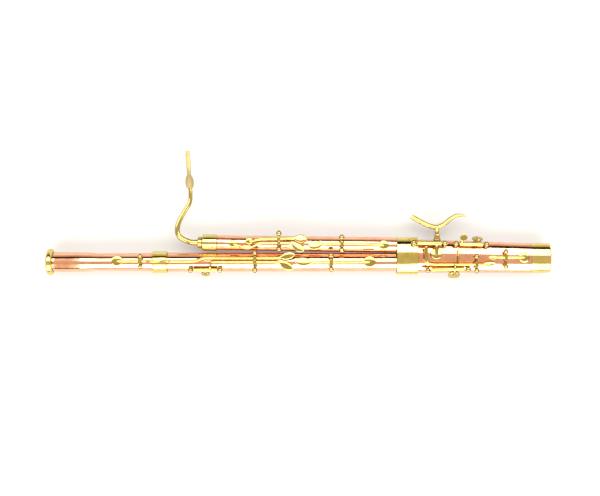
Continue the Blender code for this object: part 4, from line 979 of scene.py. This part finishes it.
def boot_foot(x, y, z):
    """Knee and foot of a leg from a ball at (x, y, z), square to the nearest point of the oval."""
    yc, half, height = (-111.6, 49.4, 27.2) if x < 317 else boot_section(x)
    ball_at = Vector((y, z))
    surface = []
    for degrees in range(1, 180):
        a = math.radians(degrees)
        surface.append(Vector((yc + half * fuller(math.cos(a)),
                               AXIS_Z + height * fuller(math.sin(a)))))
    nearest = min(surface, key=lambda point: (point - ball_at).length)
    outward = (ball_at - nearest).normalized()
    return tuple((x, *(nearest + outward * gap)) for gap in (5, 0.4))


def boot_posts(name, ends):
    posts(name, ends, [boot_foot(*end) for end in ends], 7)


def between(ends, share):
    """A hinge tube's ends, each this share of the bar's length in from its post."""
    a, b = Vector(ends[0]), Vector(ends[1])
    return [a + (b - a) * share, a + (b - a) * (1 - share)]


def rocker(ends, arms, extra, tube_r=5.8):
    """A key on a long hinge tube with arms and cups soldered to it."""
    a, b = Vector(ends[0]), Vector(ends[1])
    along = (b - a).normalized()
    tube = cylinder(a, b, tube_r, 40, edge=0.6)
    soldered = [sweep(arm, 20, 5, up=(1, 0, 0), dome=0.6) for arm in arms]
    hole = cylinder(a - along * 5, b + along * 5, BAR_R + 0.3, 28)
    return fused(tube, soldered + extra, [hole])


def flank_key(name, ends, lobe, radius, angle, x, cup_r, rest, arms, extra, seat):
    """A rocker whose cup closes a hole in the flank; angle is the hole's, from the top to +Y."""
    a, b = Vector(ends[0]), Vector(ends[1])
    pivot = (a + b) / 2
    outward = (0, math.sin(math.radians(angle)), math.cos(math.radians(angle)))
    rim = (x, *on_tube(lobe, radius, angle, seat + 1.1))
    back = (x, *on_tube(lobe, radius, angle, seat + 6.7))
    sign = 1 if angle > 0 else -1
    up_y, up_z = -sign * outward[2], sign * outward[1]
    low = (x, back[1] - 5 * up_y, back[2] - 5 * up_z)
    high = (x, back[1] + 8 * up_y + sign, back[2] + 8 * up_z)
    neck = (x, pivot.y + sign * 11, pivot.z + 0.5)
    back_arm = [(x, pivot.y, pivot.z, 3, 3), (*neck, 3, 3), (*high, 3, 2.8),
                (*back, 2.8, 2.4), (*low, 1.5, 1.3)]
    swing = (pivot, b - a, rest)
    swung = turned([sweep(back_arm, 20, 3, up=(1, 0, 0), dome=0.6), cup(rim, cup_r, outward)],
                   *swing)
    piece(name, rocker(ends, arms, [*swung, *extra]), "key_brass", edge=0.4)
    pad(name.replace("_key", "_pad"), rim, cup_r, outward, swing)


def pancake_key():
    z, y = 69, -77.3
    boot_posts("pancake_pivot", [(304.2, y + 0.8, z), (386, y - 1.8, z)])
    arm = [(364, -78, z, 4, 4), (364, -88, z + 0.6, 3.4, 4),
           (364, -98, 68.6, 2.4, 4.6), (364, -109, 67.9, 1.7, 3.4)]
    axis = Vector((81.8, -2.6, 0)).normalized()
    centre = Vector((345, y - 0.5, z))
    ends = [centre - axis * 31.5, centre + axis * 31.5]
    seat = (364, -105, 62.8)
    key = rocker(ends, [arm], [cup(seat, 15)], 6)
    swing = (centre, axis, -8)
    turned([key], *swing)
    piece("pancake_key", key, "key_brass", edge=0.45)
    pad("pancake_pad", seat, 15, swing=swing)


def cross_lever():
    w, z = WIRE_R, 70
    boot_posts("cross_lever_pivot", [(469.2, -112.8, z), (470.4, -150.4, z - 3)])
    path = [(337, -86.5, z, 4.2, 3), (337, -100, z, 4.8, 3.4), (337.2, -122, z, 4.8, 3.6),
            (343, -130.8, z, w, w), (358, -133.4, z, w, w), (380, -133.7, z, w, w),
            (470, -133.7, z - 1.6, w, w), (482, -133.5, z - 1.2, w, w)]
    path += spatula((488, -133.2, z - 0.8), (521, -130.6, z - 0.4), 6.4)
    bar = [(422, -134, z - 0.6, 2.2, 2.2), (422, -92, z - 0.6, 2.2, 2.2)]
    lever("cross_lever", path, (470, -133.7, z - 1.65), (1.2, -37.6, -3), 7,
          [sweep(bar, 20, 1, dome=1.4)])


def thumb_keys():
    """The cross lever with its side key, and the short lever by the cap."""
    w, z = WIRE_R, 70
    cross_lever()
    ends = [(341.4, -148.6, 64.6), (448.3, -145.6, 64.2)]
    boot_posts("side_e_pivot", ends)
    lobe = boot_section(412)
    arm = [(412.5, -146.6, 64.3, 3, 3), (412.5, -143.5, 71.5, 2.6, 2.6),
           (412.5, -138.5, 76, 2.2, 2.2), (412.5, -132.5, 75.6, 1.7, 1.7)]
    flank_key("side_e_key", between(ends, 0.1), lobe[0] - lobe[1] + lobe[2], lobe[2], -70, 412,
              16, -11, [arm], [], 2.15)

    ends = [(416.4, -79.8, 64.8), (496.4, -81.7, 64.4)]
    boot_posts("thumb_b_flat_pivot", ends)
    lobe = boot_section(475)
    stem = [(430.5, -80.2, 64.8, 3, 3), (432, -73, 70, 2.6, 2.6),
            (434.9, -64, 73, 2.4, 1.8)]
    disc = cylinder((434.9, -62.7, 72.4), (434.9, -62.7, 75.4), 9.8, 48, edge=0.9)
    flank_key("thumb_b_flat_key", between(ends, 0.12), lobe[0] + lobe[1] - lobe[2], lobe[2], 78,
              475, 14.5, 8.5, [stem], [disc], 2)

    boot_posts("f_sharp_pivot", [(547, -100.5, z), (547, -140, z - 3)])
    seat = (595.9, -115.2, 62.6)
    path = spatula((524, -115.2, z - 0.6), (500.5, -114.6, z - 0.2), 5.6)[::-1]
    path += [(532, -115.4, z - 0.8, w, 3.2), (547, -115.6, z - 1.15, 4.4, 4.4),
             (566, -115.4, z - 1, 4.2, 4.2), (580, -115.3, z - 1.4, w, 3.4),
             (588, -115.2, z - 1.8, w, 2.6), (595.9, -115.2, z - 2.2, 2, 1.6)]
    padded_lever("f_sharp_key", path, (547, -115.6, z - 1.15), (0, -39.5, -3), 8, seat, 14.2)


def hand_rest():
    z = AXIS_Z
    x = middle("hand_rest_screw").x
    seat = cylinder((x, -69.1, z), (x, -66.4, z), 10.5, 56, edge=0.6)
    boss = cylinder((x, -67.5, z), (x, -55.5, z), 7.6, 48, edge=0.6)
    holes = [drill((x, -66.9, z), (x, -50, z), 3.8),
             drill((x, -59.6, z), (x, -59.6, z + 12), 2.1)]
    piece("hand_rest_socket", fused(seat, [boss], holes), "key_brass", edge=0.3)
    path = [(300.6, -6.1, 6.2), (325.1, -20.5, 6.3), (348.8, -31.3, 6.4), (368.6, -35, 6.3),
            (388, -26.6, 6.2), (405.1, -12.8, 5.8), (420.3, -4.1, 5), (434, -2.9, 3.8),
            (447.5, -7.2, 1.6)]
    crutch = sweep([(px, py, z, r, r) for px, py, r in path], 32, 6)
    stem = [(x, -38, z, 4.6, 4.6), (x, -42, z, 5.6, 5.6), (x, -46, z, 6.2, 6.2),
            (x, -54.6, z, 5.8, 5.8), (x, -55.1, z, 3.5, 3.5), (x, -66.4, z, 3.5, 3.5)]
    piece("hand_rest", fused(crutch, [sweep(stem, 32, 1)]), "key_brass", edge=0.8)
    knob = rounded([(0, 0), (0, 1.8), (4.6, 1.8), (4.7, 5.6), (6, 6.2), (8.6, 6.2),
                    (9.8, 5.4), (10, 0)], 0.35)
    screw = revolve(knob, (x, -59.6, z + 3.8), (x, -59.6, z + 60), 96)
    centre = Vector((x, -59.6, 0))
    for vert in screw.verts:
        arm = Vector((vert.co.x, vert.co.y, 0)) - centre
        if arm.length > KNURL_FROM:
            turn = math.atan2(arm.y, arm.x)
            vert.co += arm.normalized() * KNURL_DEPTH * math.cos(KNURLS * turn)
    piece("hand_rest_screw", screw, "key_brass")


def resting_posts():
    """Posts on the finger side, below, that the instrument lies on."""
    y = wing_y(-85)
    ends = [(-110, y, 5.6), (-60, y, 5.6)]
    feet = [((x, y, 10), (x, y, AXIS_Z - 20.5)) for x, _, _ in ends]
    posts("wing_under_posts", ends, feet, 5.6)
    ends = [(505, -96.5, 5.6), (505, -133.5, 5.6)]
    _, half, height = boot_section(505)
    rise = height * (1 - (18.5 / half) ** OVAL_POWER) ** (1 / OVAL_POWER)
    feet = [((x, yy, 9), (x, yy, AXIS_Z - rise - 0.3)) for x, yy, _ in ends]
    posts("boot_under_posts", ends, feet, 5.6)


# --- studio ---
CAMERA_OFFSET = Vector((0.0036, -0.0898, 3.196))     # from the middle of the CAD box
TARGET = Vector((0.0, -0.1, 0.036))
FLOOR_SIZE = 80.0
FLOOR_GAP = 0.0005
LIGHT_DISTANCE = 2.2
RADIANCE = 5.6
LIGHT_TINT = (1.0, 0.985, 0.96)
# Direction from overhead towards +Y, in degrees, and the brightness of the studio from there on.
STUDIO_BANDS = (
    (-180.0, 0.6), (-106.0, 0.6), (-102.0, 0.02), (-79.0, 0.02), (-76.0, 0.82), (-30.0, 0.82),
    (10.0, 0.8), (43.0, 0.8), (45.0, 0.02), (67.0, 0.02), (71.0, 0.8), (180.0, 0.6),
)


def softbox(name, low, high, x0, x1):
    """A soft light beside the instrument, between two tilts in degrees from overhead to +Y."""
    data = bpy.data.lights.new(name, "AREA")
    data.shape = "RECTANGLE"
    data.size = x1 - x0
    data.size_y = 2 * LIGHT_DISTANCE * math.tan(math.radians(high - low) / 2)
    data.energy = RADIANCE * math.pi * data.size * data.size_y
    data.color = LIGHT_TINT
    light = placed(name, data)
    a = math.radians(low + high) / 2
    light.location = TARGET + Vector((0.0, math.sin(a), math.cos(a))) * LIGHT_DISTANCE
    light.location.x = (x0 + x1) / 2
    light.rotation_euler = (-a, 0.0, 0.0)
    light.visible_camera = False


def make_floor():
    """A pale sheet of paper on a light table, which keeps the shadows faint."""
    bm = bmesh.new()
    bmesh.ops.create_grid(bm, x_segments=4, y_segments=4, size=FLOOR_SIZE / 2)
    floor = placed_mesh("floor", bm)
    floor.location.z = CAD_LOW.z - FLOOR_GAP
    n = Nodes("floor_paper")
    grain = n.noise(900.0, 3.0)
    colour = n.mix(grain, (0.41, 0.41, 0.407), (0.39, 0.39, 0.387))
    paper = n.finish(colour, n.ranged(grain, 0.3, 0.7, 0.85, 0.95),
                     n.bump(grain, 0.05, 0.0001), Emission_Strength=0.2)
    floor.data.materials.append(paper)


def make_world():
    """A pale room with dark gaps between the lights and the walls, as bands along X."""
    world = bpy.data.worlds.new("studio")
    world.use_nodes = True
    tree = world.node_tree
    place = tree.nodes.new("ShaderNodeTexCoord").outputs["Generated"]
    parts = tree.nodes.new("ShaderNodeSeparateXYZ")
    tree.links.new(place, parts.inputs["Vector"])
    angle = tree.nodes.new("ShaderNodeMath")
    angle.operation = "ARCTAN2"
    tree.links.new(parts.outputs["Y"], angle.inputs[0])
    tree.links.new(parts.outputs["Z"], angle.inputs[1])
    share = tree.nodes.new("ShaderNodeMapRange")
    share.inputs["From Min"].default_value = -math.pi
    share.inputs["From Max"].default_value = math.pi
    tree.links.new(angle.outputs["Value"], share.inputs["Value"])
    ramp = tree.nodes.new("ShaderNodeValToRGB")
    tree.links.new(share.outputs["Result"], ramp.inputs["Fac"])
    stops = ramp.color_ramp.elements
    while len(stops) < len(STUDIO_BANDS):
        stops.new(0.5)
    for stop, (degrees, value) in zip(stops, STUDIO_BANDS):
        stop.position = (degrees + 180.0) / 360.0
        stop.color = (value, value * 0.89, value * 0.74, 1.0)
    tree.links.new(ramp.outputs["Color"], tree.nodes["Background"].inputs["Color"])
    bpy.context.scene.world = world


def make_studio():
    make_floor()
    for name, low, high in (("far", 12.0, 45.0), ("near", -80.0, -30.0)):
        softbox("softbox_" + name, low, high, -0.93, 2.6)
        softbox("softbox_" + name + "_left", low, high, -3.4, -1.25)
    make_world()
    scene = bpy.context.scene
    scene.view_settings.view_transform = "Standard"

    data = bpy.data.cameras.new("camera")
    data.lens = 72.0
    data.sensor_width = 36.0
    camera = placed("camera", data)
    camera.location = (CAD_LOW + CAD_HIGH) / 2 + CAMERA_OFFSET
    scene.camera = camera


def clear_start_scene():
    for name in ("Cube", "Light", "Camera"):
        if name in bpy.data.objects:
            bpy.data.objects.remove(bpy.data.objects[name])


clear_start_scene()
make_boot()
make_boot_ends()
make_u_tube()
make_bass()
make_bell()
make_wing()
make_wraps()
make_bocal()
make_reed()
wing_keys()
bass_keys()
pancake_key()
thumb_keys()
hand_rest()
resting_posts()
make_studio()
